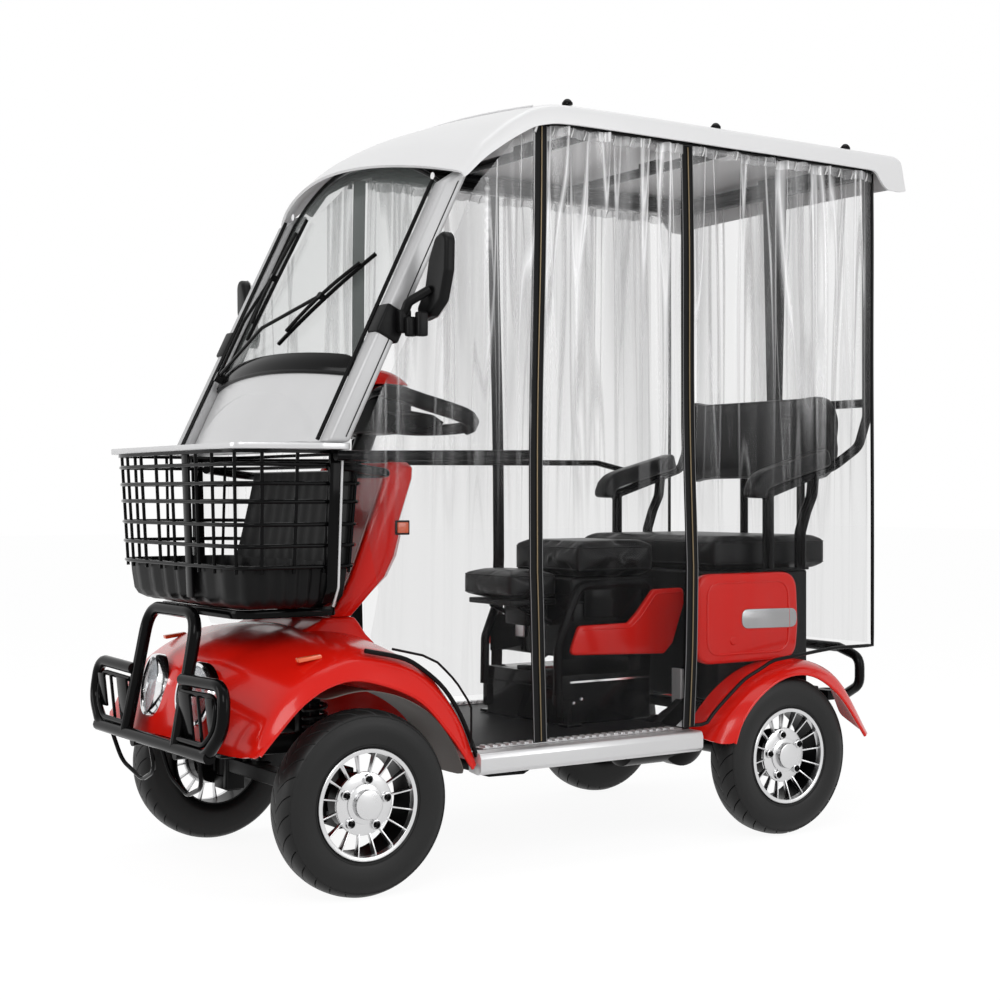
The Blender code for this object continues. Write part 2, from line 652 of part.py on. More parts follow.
def make_leg_shield():
    """The red steering column cover: a slanted panel with raised side bands and a rear bulge."""
    # height, half width, how far the front and the back lie from the column's axis
    levels = ((NECK_TOP_Z + SEAT_GAP, 0.150, 0.012, 0.045), (0.600, 0.166, 0.010, 0.066),
              (0.640, 0.170, 0.008, 0.096),
              (0.720, 0.172, 0.008, 0.098), (0.755, 0.171, 0.008, 0.062), (0.860, 0.168, 0.008, 0.052),
              (COLUMN_TOP_Z, 0.160, 0.004, 0.048))
    bm = bmesh.new()
    rings = []
    for z, half, ahead, behind in levels:
        ring = []
        for x, forward in ((-half, ahead - 0.014), (-half + 0.014, ahead), (-half * 0.80, ahead - 0.003),
                           (-half * 0.74, ahead - 0.022), (half * 0.74, ahead - 0.022),
                           (half * 0.80, ahead - 0.003),
                           (half - 0.014, ahead), (half, ahead - 0.014), (half, -behind * 0.60),
                           (half * 0.80, -behind), (-half * 0.80, -behind), (-half, -behind * 0.60)):
            ring.append(bm.verts.new(column_point(z, forward, x)))
        rings.append(ring)
    for ring, after in zip(rings, rings[1:]):
        for j in range(len(ring)):
            k = (j + 1) % len(ring)
            bm.faces.new((ring[j], ring[k], after[k], after[j]))
    bm.faces.new(rings[0])
    bm.faces.new(list(reversed(rings[-1])))
    finish("leg_shield", bm, "red_body", 25)


def make_lamps():
    """The round headlights beside the bonnet, and the red lamp bar at the back."""
    for name, side in SIDES:
        profile = [(0.0, 0.012), (0.045, 0.010), (0.064, 0.005), (0.068, 0.0), (0.0, 0.0)]
        lamp = solid_of_revolution("headlight_" + name, profile, (0, 0, 0), 1, "lamp_lens", 16, "z")
        face = Matrix.Rotation(side * math.radians(8), 4, "Z") @ Matrix.Rotation(math.radians(80), 4, "X")
        lamp.data.transform(Matrix.Translation((side * 0.113, -0.8475, 0.400)) @ face)
    block("tail_lamp_bar", (-0.230, REAR_BOX_REAR_Y + SEAT_GAP, 0.440),
          (0.230, REAR_BOX_REAR_Y + 0.022, 0.490), "lamp_red", 0.005, 1)


def make_bull_bar():
    """The black tube bumper: bottom tube with two side loops, a leaning hoop and its stays."""
    radius = 0.0138
    low_z, front_y = 0.298, -0.903
    pieces = [tube("bottom", [(-0.300, front_y, low_z), (0.300, front_y, low_z)], radius, "black_steel")]
    hoop = [(0.136, front_y, low_z), (0.128, -0.850, 0.572), (-0.128, -0.850, 0.572),
            (-0.136, front_y, low_z)]
    pieces.append(tube("hoop", hoop, radius, "black_steel", 0.055, steps=3))
    for _, side in SIDES:
        loop = [(0.132, -0.886, 0.440), (0.335, -0.886, 0.440), (0.345, -0.894, 0.355),
                (0.285, front_y, low_z), (0.150, front_y, low_z)]
        pieces.append(tube("loop", mirrored(loop, side), radius * 0.94, "black_steel", 0.060))
        inner = [(0.134, -0.889, 0.412), (0.308, -0.889, 0.414), (0.314, -0.897, 0.352),
                 (0.270, front_y, 0.320), (0.140, front_y, 0.320)]
        pieces.append(tube("inner", mirrored(inner, side), 0.0060, "black_steel", 0.040, 4))
        stay = [(0.115, front_y, 0.2815), (0.115, -0.8028, 0.2815)]
        pieces.append(tube("stay", mirrored(stay, side), 0.012, "black_steel", sides=SMALL_SIDES))
    union("bull_bar", pieces, "black_steel")


def make_basket():
    """The wire basket with a closed ribbed pan at its foot, on its tube carrier."""
    top_z, pan_z, low_z = BASKET_TOP_Z, 0.668, 0.578
    columns, wire_rows = 12, 4
    # height, half width, front and rear y of the basket's outline
    top = (top_z, 0.318, -0.850, -0.535)
    low = (low_z, 0.270, -0.822, -0.560)

    def outline(turn, share):
        values = [a + (b - a) * share for a, b in zip(low, top)]
        z, half, front, rear = values
        middle, depth = (front + rear) / 2, (rear - front) / 2
        c, s = math.cos(turn), math.sin(turn)
        reach = 1.0 / (abs(c) ** 7 + abs(s) ** 7) ** (1 / 7)
        return Vector((half * c * reach, middle + depth * s * reach, z))

    wire = 0.0028
    levels = [0.0, 0.04]
    for k in range(wire_rows):
        share = (pan_z - low_z) / (top_z - low_z)
        step = (1 - share) / wire_rows
        levels += [share + step * k + 0.012, share + step * (k + 1) - 0.012]
    levels.append(1.0)
    turns = []
    for k in range(columns):
        centre = 2 * math.pi * (k + 0.5) / columns
        turns += [centre - 0.018, centre + 0.018]

    def outer(i, j):
        return outline(turns[i % len(turns)], levels[j])

    def inner(i, j):
        place = outer(i, j)
        middle = Vector((0, (top[2] + top[3]) / 2, place.z))
        return place + (middle - place).normalized() * wire * 2

    def filled(i, j):
        return i % 2 == 0 or j <= 1 or j % 2 == 1

    wall = lattice("wall", len(turns), len(levels) - 1, outer, inner, filled, "black_steel", wrap=True)
    bm = bmesh.new()
    rings = [[bm.verts.new(outline(turn, 0.0) * 0.9985 + Vector((0, -0.001, z)))
              for turn in turns] for z in (0.0005, 0.0045)]
    for j in range(len(turns)):
        k = (j + 1) % len(turns)
        bm.faces.new((rings[0][j], rings[0][k], rings[1][k], rings[1][j]))
    bm.faces.new(rings[0])
    bm.faces.new(list(reversed(rings[1])))
    bottom = finish("bottom", bm, "black_steel")
    union("basket", [wall, bottom], "black_steel")

    carrier_z = low_z - 0.0105
    path = [(0.100, -0.552, carrier_z), (0.200, -0.575, carrier_z), (0.200, -0.790, carrier_z),
            (-0.200, -0.790, carrier_z), (-0.200, -0.575, carrier_z), (-0.100, -0.552, carrier_z)]
    pieces = [tube("loop", path, 0.0100, "black_steel", 0.03, SMALL_SIDES)]
    pieces.append(block("plate", (-0.145, -0.562, carrier_z - 0.008), (0.145, -0.5441, carrier_z + 0.008),
                        "black_steel"))
    pieces.append(tube("stay", [(0, -0.555, carrier_z), (0, -0.790, carrier_z)], 0.0090, "black_steel",
                       sides=SMALL_SIDES))
    union("basket_carrier", pieces, "black_steel")


def make_tray():
    """The silver rim on top of the basket, which carries the windscreen."""
    wide = PILLAR_X + 0.0235
    corners = [(-0.325, -0.859), (0.325, -0.859), (wide, -0.700), (wide, -0.600), (-wide, -0.600),
               (-wide, -0.700)]
    prism("base_tray", rounded_outline([(x, y) for x, y in corners], 0.040, 3), "z", TRAY_LOW_Z, TRAY_TOP_Z,
          "silver_frame")
    tray = bpy.data.objects["base_tray"]
    window = prism("window", rounded_outline([(-0.285, -0.832), (0.285, -0.832), (0.285, -0.735),
                                              (-0.285, -0.735)],
                                             0.020, 2), "z", TRAY_LOW_Z - 0.01, TRAY_TOP_Z + 0.01,
                                             "silver_frame")
    boolean(tray, [window], "DIFFERENCE")


def make_windscreen():
    """The silver pillars and lower panel, and the curved glass between them."""
    foot_z = TRAY_TOP_Z + SEAT_GAP
    half_depth = 0.027
    for name, side in SIDES:
        ends = sorted((side * (PILLAR_X - 0.023), side * (PILLAR_X + 0.023)))
        top_y, top_z = PILLAR_TOP
        outline = [(pillar_y(foot_z) - half_depth, foot_z), (pillar_y(foot_z) + half_depth, foot_z),
                   (top_y + half_depth, top_z), (top_y + half_depth * 0.3, top_z),
                   (top_y - half_depth * 1.5, top_z - 0.030)]
        prism("pillar_" + name, outline, "x", ends[0], ends[1], "silver_frame")
    panel_rows = []
    glass_rows = []
    count = 9
    for k in range(count):
        x = SCREEN_HALF_W * (2 * k / (count - 1) - 1)
        arc = PILLAR_TOP[1] + 0.048 - 0.072 * (x / SCREEN_HALF_W) ** 2
        panel_rows.append([screen_point(x, z) for z in (foot_z + 0.0047, SCREEN_LOW_Z - SEAT_GAP)])
        glass_rows.append([screen_point(x, SCREEN_LOW_Z + (arc - SCREEN_LOW_Z) * j / 4) for j in range(5)])
    skin_solid("lower_panel", panel_rows, 0.010, "silver_frame")
    skin_solid("windscreen", glass_rows, 0.004, "screen_glass")


def roof_rows():
    """Rows of roof points from the brow to the rear lip; each row runs from side to side."""
    # side edge y and height over the rails; centre y and height; depth of the side band under the edge
    stations = ((-0.387, -0.158, -0.468, -0.102, 0.010), (-0.335, -0.090, -0.400, -0.050, 0.028),
                (-0.271, -0.038, -0.326, -0.012, 0.036), (-0.206, 0.000, -0.236, 0.018, 0.036),
                (-0.140, 0.016, -0.150, 0.034, 0.037), (0.080, 0.018, 0.080, 0.039, 0.038),
                (0.450, 0.018, 0.450, 0.039, 0.038), (0.822, 0.018, 0.822, 0.037, 0.040),
                (0.868, 0.018, 0.872, 0.033, 0.084), (0.900, 0.016, 0.910, 0.027, 0.082),
                (0.918, 0.008, 0.924, 0.010, 0.072),
                (ROOF_REAR_Y, -0.058, ROOF_REAR_Y, -0.054, 0.004))
    shares = (-1.0, -0.97, -0.86, -0.50, 0.0, 0.50, 0.86, 0.97, 1.0)
    rows = []
    for side_y, side_rise, mid_y, mid_rise, band in stations:
        side_z, mid_z = ROOF_RAIL_Z + side_rise, ROOF_RAIL_Z + mid_rise
        row = [Vector((-ROOF_HALF_W, side_y, side_z - 0.006 - band))]
        for share in shares:
            fall = share * share
            drop = 0.006 if abs(share) == 1.0 else 0.0
            row.append(Vector((share * (ROOF_HALF_W - 0.001), mid_y + (side_y - mid_y) * fall,
                               mid_z + (side_z - mid_z) * fall - drop)))
        row.append(Vector((ROOF_HALF_W, side_y, side_z - 0.006 - band)))
        rows.append(row)
    return rows


def make_roof():
    """The white roof shell, and the black tube frame that carries it."""
    skin_solid("roof_shell", roof_rows(), ROOF_T, "white_roof")
    rail = circle(POST_R, SMALL_SIDES)
    pieces = []
    front_y, front_z = PILLAR_TOP
    for _, side in SIDES:
        line = [(POST_X, front_y + 0.031, front_z + 0.009), (POST_X, -0.302, ROOF_RAIL_Z - 0.078),
                (POST_X, -0.225, ROOF_RAIL_Z - 0.034), (POST_X, -0.140, ROOF_RAIL_Z - 0.008),
                (POST_X, 0.050, ROOF_RAIL_Z), (POST_X, 0.872, ROOF_RAIL_Z)]
        pieces.append(sweep("rail", mirrored(line, side), rail, "black_steel"))
        wide = sorted((side * POST_X, side * (CURTAIN_X + 0.005)))
        pieces.append(block("track", (wide[0], -0.140, TRACK_LOW_Z), (wide[1], 0.846, ROOF_RAIL_Z - 0.006),
                            "black_steel"))
    pieces.append(block("track", (-POST_X + 0.014, POST_Y, TRACK_LOW_Z),
                        (POST_X - 0.014, 0.893, ROOF_RAIL_Z - 0.006), "black_steel"))
    for y in (0.060, 0.450, 0.862):
        pieces.append(tube("cross", [(-POST_X, y, ROOF_RAIL_Z), (POST_X, y, ROOF_RAIL_Z)], POST_R,
                           "black_steel", sides=SMALL_SIDES))
        pieces.append(block("pad", (-0.040, y - 0.008, ROOF_RAIL_Z), (0.040, y + 0.008, ROOF_RAIL_Z + 0.022),
                            "black_steel"))
    union("roof_frame", pieces, "black_steel")


def make_posts_and_armrests():
    """Each side's bent tube: the armrest frame that rises into the roof post, and its pad."""
    foot_z = REAR_BOX_TOP_Z + SEAT_GAP
    post_top = ROOF_RAIL_Z - POST_R - SEAT_GAP
    for name, side in SIDES:
        start, end = Vector((0.300, 0.560, 0.812)), Vector((0.300, 0.800, 0.887))
        top = [start, end, (0.335, 0.850, 0.935), (POST_X, POST_Y, 1.010), (POST_X, POST_Y, post_top)]
        front = [(0.300, 0.575, foot_z + 0.004), (0.300, 0.575, 0.817)]
        rear = [(0.300, 0.678, foot_z + 0.004), (0.300, 0.690, 0.725), (0.300, 0.728, 0.865)]
        pieces = [tube("top", mirrored(top, side), POST_R, "black_steel", 0.03)]
        pieces.append(tube("front", mirrored(front, side), POST_R, "black_steel"))
        pieces.append(tube("rear", mirrored(rear, side), POST_R, "black_steel", 0.05))
        ends = sorted((side * 0.2865, side * 0.3135))
        pieces.append(block("foot", (ends[0], 0.553, foot_z), (ends[1], 0.700, foot_z + 0.007),
                            "black_steel"))
        union("armrest_frame_" + name, pieces, "black_steel")
        along = (end - start).normalized()
        above = Vector((0, -along.z, along.y)) * (POST_R * math.cos(math.pi / TUBE_SIDES) + 0.0160 + SEAT_GAP)
        pad = [start - along * 0.022 + above, end - along * 0.024 + above]
        section = rounded_outline([(-0.026, -0.0160), (0.026, -0.0160), (0.026, 0.0160), (-0.026, 0.0160)],
                                  0.012, 2)
        sweep("armrest_pad_" + name, mirrored(pad, side), [tuple(p) for p in section], "seat_cover",
              up=(0, 0, 1))


def make_side_rails():
    """The black tubes along the cabin's sides at hand height."""
    apothem = POST_R * math.cos(math.pi / TUBE_SIDES)
    rail_z = TRAY_LOW_Z - SEAT_GAP - apothem
    rail_x = PILLAR_X + 0.007
    line = [(rail_x, -0.660, rail_z), (rail_x, -0.600, rail_z), (rail_x, -0.180, 0.900)]
    tube("side_rail_left", line, POST_R, "black_steel")
    end_x = 0.300 + apothem + SEAT_GAP
    line = [(-rail_x, -0.660, rail_z), (-rail_x, -0.600, rail_z), (-rail_x, 0.560, 0.902),
            (-rail_x + 0.008, 0.660, 0.8800), (-0.345, 0.700, 0.8556), (-end_x, 0.700, 0.8556)]
    tube("side_rail_right", line, POST_R, "black_steel")


def make_seats():
    """The driver's seat base with its side hoops, the seats and the backrest."""
    foot_z = FLOOR_Z + SEAT_GAP
    half, front_y, rear_y, case_top = 0.148, 0.060, 0.330, 0.390
    face = [(-half, foot_z), (-0.032, foot_z), (0.022, 0.354), (half, 0.354), (half, case_top), (-half, case_top)]
    pieces = [block("case", (-half, front_y, foot_z), (half, rear_y, case_top), "black_plastic"),
              prism("face", face, "y", front_y - 0.013, front_y + 0.002, "black_plastic"),
              block("riser", (-half, 0.262, case_top - 0.002), (half, rear_y, 0.428), "black_plastic"),
              block("pan", (-half, 0.094, 0.425), (half, rear_y, 0.560), "black_plastic"),
              block("top", (-half, 0.088, 0.556), (half, 0.345, CUSHION_LOW_Z - SEAT_GAP), "black_plastic")]
    hoop_x, hoop_r = half + 0.007, 0.0115
    hoop = [(hoop_x, 0.044, 0.345), (hoop_x, 0.046, 0.460), (hoop_x, 0.078, 0.536), (hoop_x, 0.108, 0.600),
            (hoop_x, 0.325, 0.600), (hoop_x, 0.332, 0.540)]
    for _, side in SIDES:
        pieces.append(tube("hoop", mirrored(hoop, side), hoop_r, "black_steel", 0.04))
    union("seat_base", pieces, "black_plastic")
    panel = [(0.063, 0.438), (0.348, 0.428), (0.375, 0.453), (0.410, 0.547), (0.410, 0.587), (0.314, 0.585),
             (0.266, 0.532), (0.237, 0.507), (0.091, 0.506)]
    for name, side in SIDES:
        inner_x = hoop_x + hoop_r * math.cos(math.pi / TUBE_SIDES) + SEAT_GAP
        ends = sorted((side * inner_x, side * (inner_x + 0.013)))
        prism("side_panel_" + name, rounded_outline(panel, 0.012, 2), "x", ends[0], ends[1], "red_body")

    block("main_cushion", (-0.140, 0.118, CUSHION_LOW_Z), (0.140, 0.352, CUSHION_TOP_Z), "seat_cover", 0.020,
          1)
    seat_low = 0.566
    block("front_seat", (-0.110, -0.058, seat_low), (0.110, 0.085, 0.636), "seat_cover", 0.014, 1)
    stand = [block("plate", (-0.090, -0.045, seat_low - 0.014), (0.090, 0.0877, seat_low - SEAT_GAP),
                   "black_plastic"),
             block("arm", (-0.045, 0.030, 0.500), (0.045, 0.0937, seat_low - 0.012), "black_plastic")]
    union("front_seat_stand", stand, "black_plastic")
    block("rear_bench", (-0.2685, BENCH_FRONT_Y, BENCH_LOW_Z), (0.2685, 0.800, BENCH_TOP_Z), "seat_cover",
          0.020, 1)

    outline = rounded_outline([(-0.272, 0.850), (0.272, 0.850), (0.272, 1.072), (-0.272, 1.072)], 0.06, 3)
    back_y = 0.856
    prism("backrest", [tuple(p) for p in outline], "y", back_y - 0.050, back_y, "seat_cover", 0.012)
    leg_y = back_y + 0.0115 + SEAT_GAP
    end_x = POST_X - POST_R - SEAT_GAP
    pieces = [tube("cross", [(-end_x, leg_y, 1.045), (end_x, leg_y, 1.045)], 0.0115, "black_steel",
                   sides=SMALL_SIDES)]
    for _, side in SIDES:
        leg = [(0.110, leg_y, 1.045), (0.110, leg_y, 0.560), (0.110, REAR_BOX_REAR_Y + SEAT_GAP, 0.560)]
        pieces.append(tube("leg", mirrored(leg, side), 0.0115, "black_steel", 0.04, SMALL_SIDES))
    strut = [(-0.025, 1.034), (0.025, 1.034), (0.038, TRACK_LOW_Z - SEAT_GAP),
             (-0.038, TRACK_LOW_Z - SEAT_GAP)]
    pieces.append(prism("strut", strut, "y", leg_y + 0.007, leg_y + 0.013, "black_steel"))
    union("backrest_frame", pieces, "black_steel")


def make_rear_box():
    """The open-topped rear locker, its red side covers, and the rear mudguards and hoop."""
    wall = 0.012
    low = (-REAR_BOX_HALF_W, REAR_BOX_FRONT_Y, 0.3185)
    high = (REAR_BOX_HALF_W, REAR_BOX_REAR_Y, REAR_BOX_TOP_Z)
    locker = block("rear_box", low, high, "black_plastic")
    hollow = block("hollow", (low[0] + wall, BENCH_FRONT_Y + wall, low[2] + wall),
                   (high[0] - wall, high[1] - wall, REAR_BOX_TOP_Z + wall), "black_plastic")
    boolean(locker, [hollow], "DIFFERENCE")
    cover_low = 2 * TYRE_R + ARCH_GAP + 0.0045
    cover = [(0.322, cover_low), (0.642, cover_low), (0.650, 0.500), (0.644, 0.626), (0.322, 0.626)]
    for name, side in SIDES:
        ends = sorted((side * (high[0] + SEAT_GAP), side * (high[0] + 0.028)))
        prism("box_cover_" + name, [tuple(p) for p in rounded_outline(cover, 0.050, 3)], "x", ends[0],
              ends[1], "red_body", 0.006)

    # distance out from the tyre's middle plane, then the (y, z) points of the skin from the front flap over the
    # wheel to the rear tip
    sections = (
        (-0.0515, (0.312, 0.262), (0.346, 0.306), (0.400, 0.352), (0.470, 0.390), (0.550, 0.409),
         (0.630, 0.411),
         (0.705, 0.389), (0.765, 0.345), (0.810, 0.262)),
        (-0.0005, (0.320, 0.240), (0.349, 0.292), (0.396, 0.338), (0.462, 0.379), (0.535, 0.402),
         (0.610, 0.409),
         (0.680, 0.395), (0.740, 0.357), (0.826, 0.226)),
        (0.0345, (0.340, 0.234), (0.366, 0.288), (0.412, 0.334), (0.474, 0.373), (0.545, 0.395),
         (0.612, 0.398),
         (0.676, 0.380), (0.735, 0.338), (0.815, 0.222)),
        (0.0525, (0.366, 0.236), (0.387, 0.284), (0.432, 0.333), (0.490, 0.369), (0.548, 0.385),
         (0.607, 0.382),
         (0.662, 0.358), (0.720, 0.311), (0.792, 0.221)), )
    for name, side in SIDES:
        rows = []
        for out, *line in sections:
            points = [(side * (HALF_TRACK + out), *rear_arch(y, z)) for y, z in line]
            rows.append(smooth_row(points, 12))
        skin_solid("rear_mudguard_" + name, rows, 0.004, "red_body")


def make_handlebar():
    """The steering stem with its closed-loop handlebar, and the console on it."""
    pod = column_point(1.000)
    base = column_point(COLUMN_TOP_Z + STEM_R * math.sin(COLUMN_LEAN) + SEAT_GAP)
    pieces = [tube("stem", [base, column_point(1.010)], STEM_R, "black_steel", sides=12)]
    for _, side in SIDES:
        grip = [(0.045, pod.y - 0.035, 1.030), (0.130, pod.y - 0.050, 1.045), (0.235, pod.y + 0.010, 1.010),
                (0.278, pod.y + 0.085, 0.982), (0.255, pod.y + 0.095, 0.962), (0.150, pod.y + 0.030, 0.958),
                (0.045, pod.y + 0.010, 0.965)]
        pieces.append(tube("bar", mirrored(grip, side), 0.0145, "black_plastic", 0.03, SMALL_SIDES))
    pieces.append(block("pod", (-0.100, pod.y - 0.055, 0.950), (0.100, pod.y + 0.040, 1.060),
                        "black_plastic", 0.018, 1))
    union("handlebar", pieces, "black_plastic")
    profile = [(0.0, 0.032), (0.050, 0.026), (0.082, 0.012), (0.090, 0.0), (0.0, 0.0)]
    solid_of_revolution("console_cap", profile, (0, pod.y - 0.010, 1.060 + SEAT_GAP), 1, "red_body", 16, "z")


def make_mirrors_and_wipers():
    """The door mirrors on the pillars, and the two wipers on one foot."""
    for name, side in SIDES:
        clamp_z = 1.180
        clamp_y = pillar_y(clamp_z)
        ends = sorted((side * (PILLAR_X + 0.0233), side * (PILLAR_X + 0.045)))
        pieces = [block("clamp", (ends[0], clamp_y - 0.022, clamp_z - 0.030),
                        (ends[1], clamp_y + 0.022, clamp_z + 0.030), "black_plastic", 0.004, 1)]
        head_x = PILLAR_X + 0.079
        arm = [(PILLAR_X + 0.036, clamp_y, clamp_z), (head_x - 0.014, clamp_y + 0.010, clamp_z + 0.020),
               (head_x - 0.002, clamp_y + 0.030, 1.235)]
        pieces.append(tube("arm", mirrored(arm, side), 0.010, "black_plastic", sides=SMALL_SIDES))
        head = solid_of_revolution("head", [(0.0, 0.022), (0.034, 0.020), (0.050, 0.010), (0.053, 0.0),
                                            (0.048, -0.006),
                                            (0.0, -0.006)], (0, 0, 0), 1, "black_plastic", 12, "y")
        turn = Matrix.Rotation(side * math.radians(-12), 4, "Z") @ Matrix.Diagonal((1.0, -1.0, 1.75, 1.0))
        head.data.transform(Matrix.Translation((side * head_x, clamp_y + 0.034, 1.270)) @ turn)
        head.data.flip_normals()
        pieces.append(head)
        union("mirror_" + name, pieces, "black_plastic")
    # each wiper: blade ends and arm end, as (x, height) on the screen
    lift = 0.010
    foot = (-0.290, 1.075)
    pieces = []
    top_z = PILLAR_TOP[1]
    blades = (((-0.235, 1.165), (-0.155, top_z - 0.042)), ((-0.150, 1.165), (0.120, top_z - 0.117)))
    for (x0, z0), (x1, z1) in blades:
        middle = ((x0 + x1) / 2, (z0 + z1) / 2)
        blade = [screen_point(x0 + (x1 - x0) * t, z0 + (z1 - z0) * t, lift) for t in (0.0, 0.33, 0.67, 1.0)]
        pieces.append(sweep("blade", blade, flat(0.010, 0.012), "black_steel"))
        arm = [screen_point(*foot, lift), screen_point((foot[0] + middle[0]) / 2, (foot[1] + middle[1]) / 2,
                                                       lift + 0.012), screen_point(*middle, lift)]
        pieces.append(tube("arm", arm, 0.005, "black_steel", sides=SMALL_SIDES))
    knob = [screen_point(*foot, 0.0003), screen_point(*foot, 0.018)]
    pieces.append(tube("knob", knob, 0.014, "black_steel"))
    union("wipers", pieces, "black_steel")


def make_curtains():
    """The clear curtains round the cabin: two sides and the back, with their zip bands."""
    top_z = CURTAIN_TOP_Z - 0.001
    rear_y = 0.838
    zip_half = 0.0175
    # (y, z) outline of one side from the front foot along the mudguards to the rear
    outline = [(-0.352, 0.285), (-0.352, 0.372), (-0.390, 0.425), (-0.440, 0.472), (-0.500, 0.500),
               (-0.590, 0.520), (-0.610, 0.885), (-0.330, top_z - 0.132), (-0.250, top_z - 0.052),
               (-0.180, top_z), (rear_y, top_z)]
    # the rear foot, which follows the mudguard
    foot = ((rear_y, 0.440), (0.700, 0.440), (0.600, 0.430), (0.500, 0.420), (0.400, 0.375), (0.330, 0.320))
    outline += [rear_arch(y, z) for y, z in foot] + [(0.292, 0.285)]
    for name, side in SIDES:
        ends = sorted((side * (CURTAIN_X - CURTAIN_T / 2), side * (CURTAIN_X + CURTAIN_T / 2)))
        sheet = prism("sheet", outline, "x", ends[0], ends[1], "curtain_film")
        pieces = [sheet]
        for zip_y in (-0.176, 0.238):
            ends = sorted((side * (CURTAIN_X - 0.0035), side * (CURTAIN_X + 0.0035)))
            pieces.append(block("band", (ends[0], zip_y - zip_half, 0.2805),
                                (ends[1], zip_y + zip_half, top_z + 0.001), "curtain_film"))
        union("curtain_" + name, pieces, "curtain_film")
    half = POST_X - 0.022
    block("curtain_rear", (-half, 0.8855, 0.440), (half, 0.8885, CURTAIN_TOP_Z), "curtain_film")


def main():
    """Clear the file and make every piece."""
    for old in list(bpy.data.objects):
        bpy.data.objects.remove(old)
    make_wheels()
    make_knuckles()
    make_front_axle()
    make_rear_axle()
    make_frame()
    make_floor()
    make_front_body()
    make_leg_shield()
    make_lamps()
    make_bull_bar()
    make_basket()
    make_tray()
    make_windscreen()
    make_roof()
    make_posts_and_armrests()
    make_side_rails()
    make_seats()
    make_rear_box()
    make_handlebar()
    make_mirrors_and_wipers()
    make_curtains()


main()
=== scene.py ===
import math

import bpy
from mathutils import Matrix, Vector
from mathutils.bvhtree import BVHTree


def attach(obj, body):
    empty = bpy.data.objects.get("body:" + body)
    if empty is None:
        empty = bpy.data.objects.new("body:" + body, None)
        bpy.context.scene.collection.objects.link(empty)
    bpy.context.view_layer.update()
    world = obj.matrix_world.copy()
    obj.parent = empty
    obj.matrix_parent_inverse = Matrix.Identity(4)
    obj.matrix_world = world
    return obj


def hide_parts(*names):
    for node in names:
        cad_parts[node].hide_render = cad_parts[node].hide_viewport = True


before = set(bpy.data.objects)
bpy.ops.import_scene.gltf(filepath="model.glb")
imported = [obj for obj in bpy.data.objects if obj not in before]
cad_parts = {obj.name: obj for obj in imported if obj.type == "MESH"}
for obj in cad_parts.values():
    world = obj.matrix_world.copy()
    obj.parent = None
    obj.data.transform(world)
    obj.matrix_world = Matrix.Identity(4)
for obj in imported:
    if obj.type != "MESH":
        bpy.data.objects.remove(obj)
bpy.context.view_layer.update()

# Looks of the four-wheel mobility scooter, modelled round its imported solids. Metres, front towards -Y.

SIDES = (("left", 1), ("right", -1))

# Wheels
TYRE_R = 0.190
HALF_TRACK = 0.3605
FRONT_AXLE_Y = -0.60
REAR_AXLE_Y = 0.55
TREAD_PITCHES = 30
SPOKES = 16

# Column, screen and roof
COLUMN_FOOT = (0.0, -0.5165, 0.60)
COLUMN_LEAN = math.radians(21.2)
COLUMN_TOP_Z = 0.886
PILLAR_X = 0.363
PILLAR_FOOT = (-0.660, 0.920)
PILLAR_TOP = (-0.375, 1.497)
SCREEN_HALF_W = 0.338
SCREEN_BULGE = 0.050
SCREEN_LOW_Z = 1.057
ROOF_HALF_W = 0.420
ROOF_RAIL_Z = 1.6420
POST_X = 0.352
POST_Y = 0.862
TUBE_R = 0.0125
CURTAIN_X = 0.395
CURTAIN_TOP_Z = 1.612


# Finishes
def shader_of(material):
    """The Principled node of a material."""
    return material.node_tree.nodes["Principled BSDF"]


def add_node(material, kind, links=(), **values):
    """Add one shader node, set its named inputs and link what feeds it."""
    made = material.node_tree.nodes.new(kind)
    for name, value in values.items():
        target = made.inputs.get(name.replace("_", " "))
        if target is not None:
            target.default_value = value
        else:
            setattr(made, name, value)
    for source, socket in links:
        material.node_tree.links.new(source, made.inputs[socket])
    return made


def object_place(material, scale=(1, 1, 1)):
    """Object coordinates, stretched by a Mapping node."""
    coordinates = add_node(material, "ShaderNodeTexCoord")
    return add_node(material, "ShaderNodeMapping", [(coordinates.outputs["Object"], "Vector")], Scale=scale)


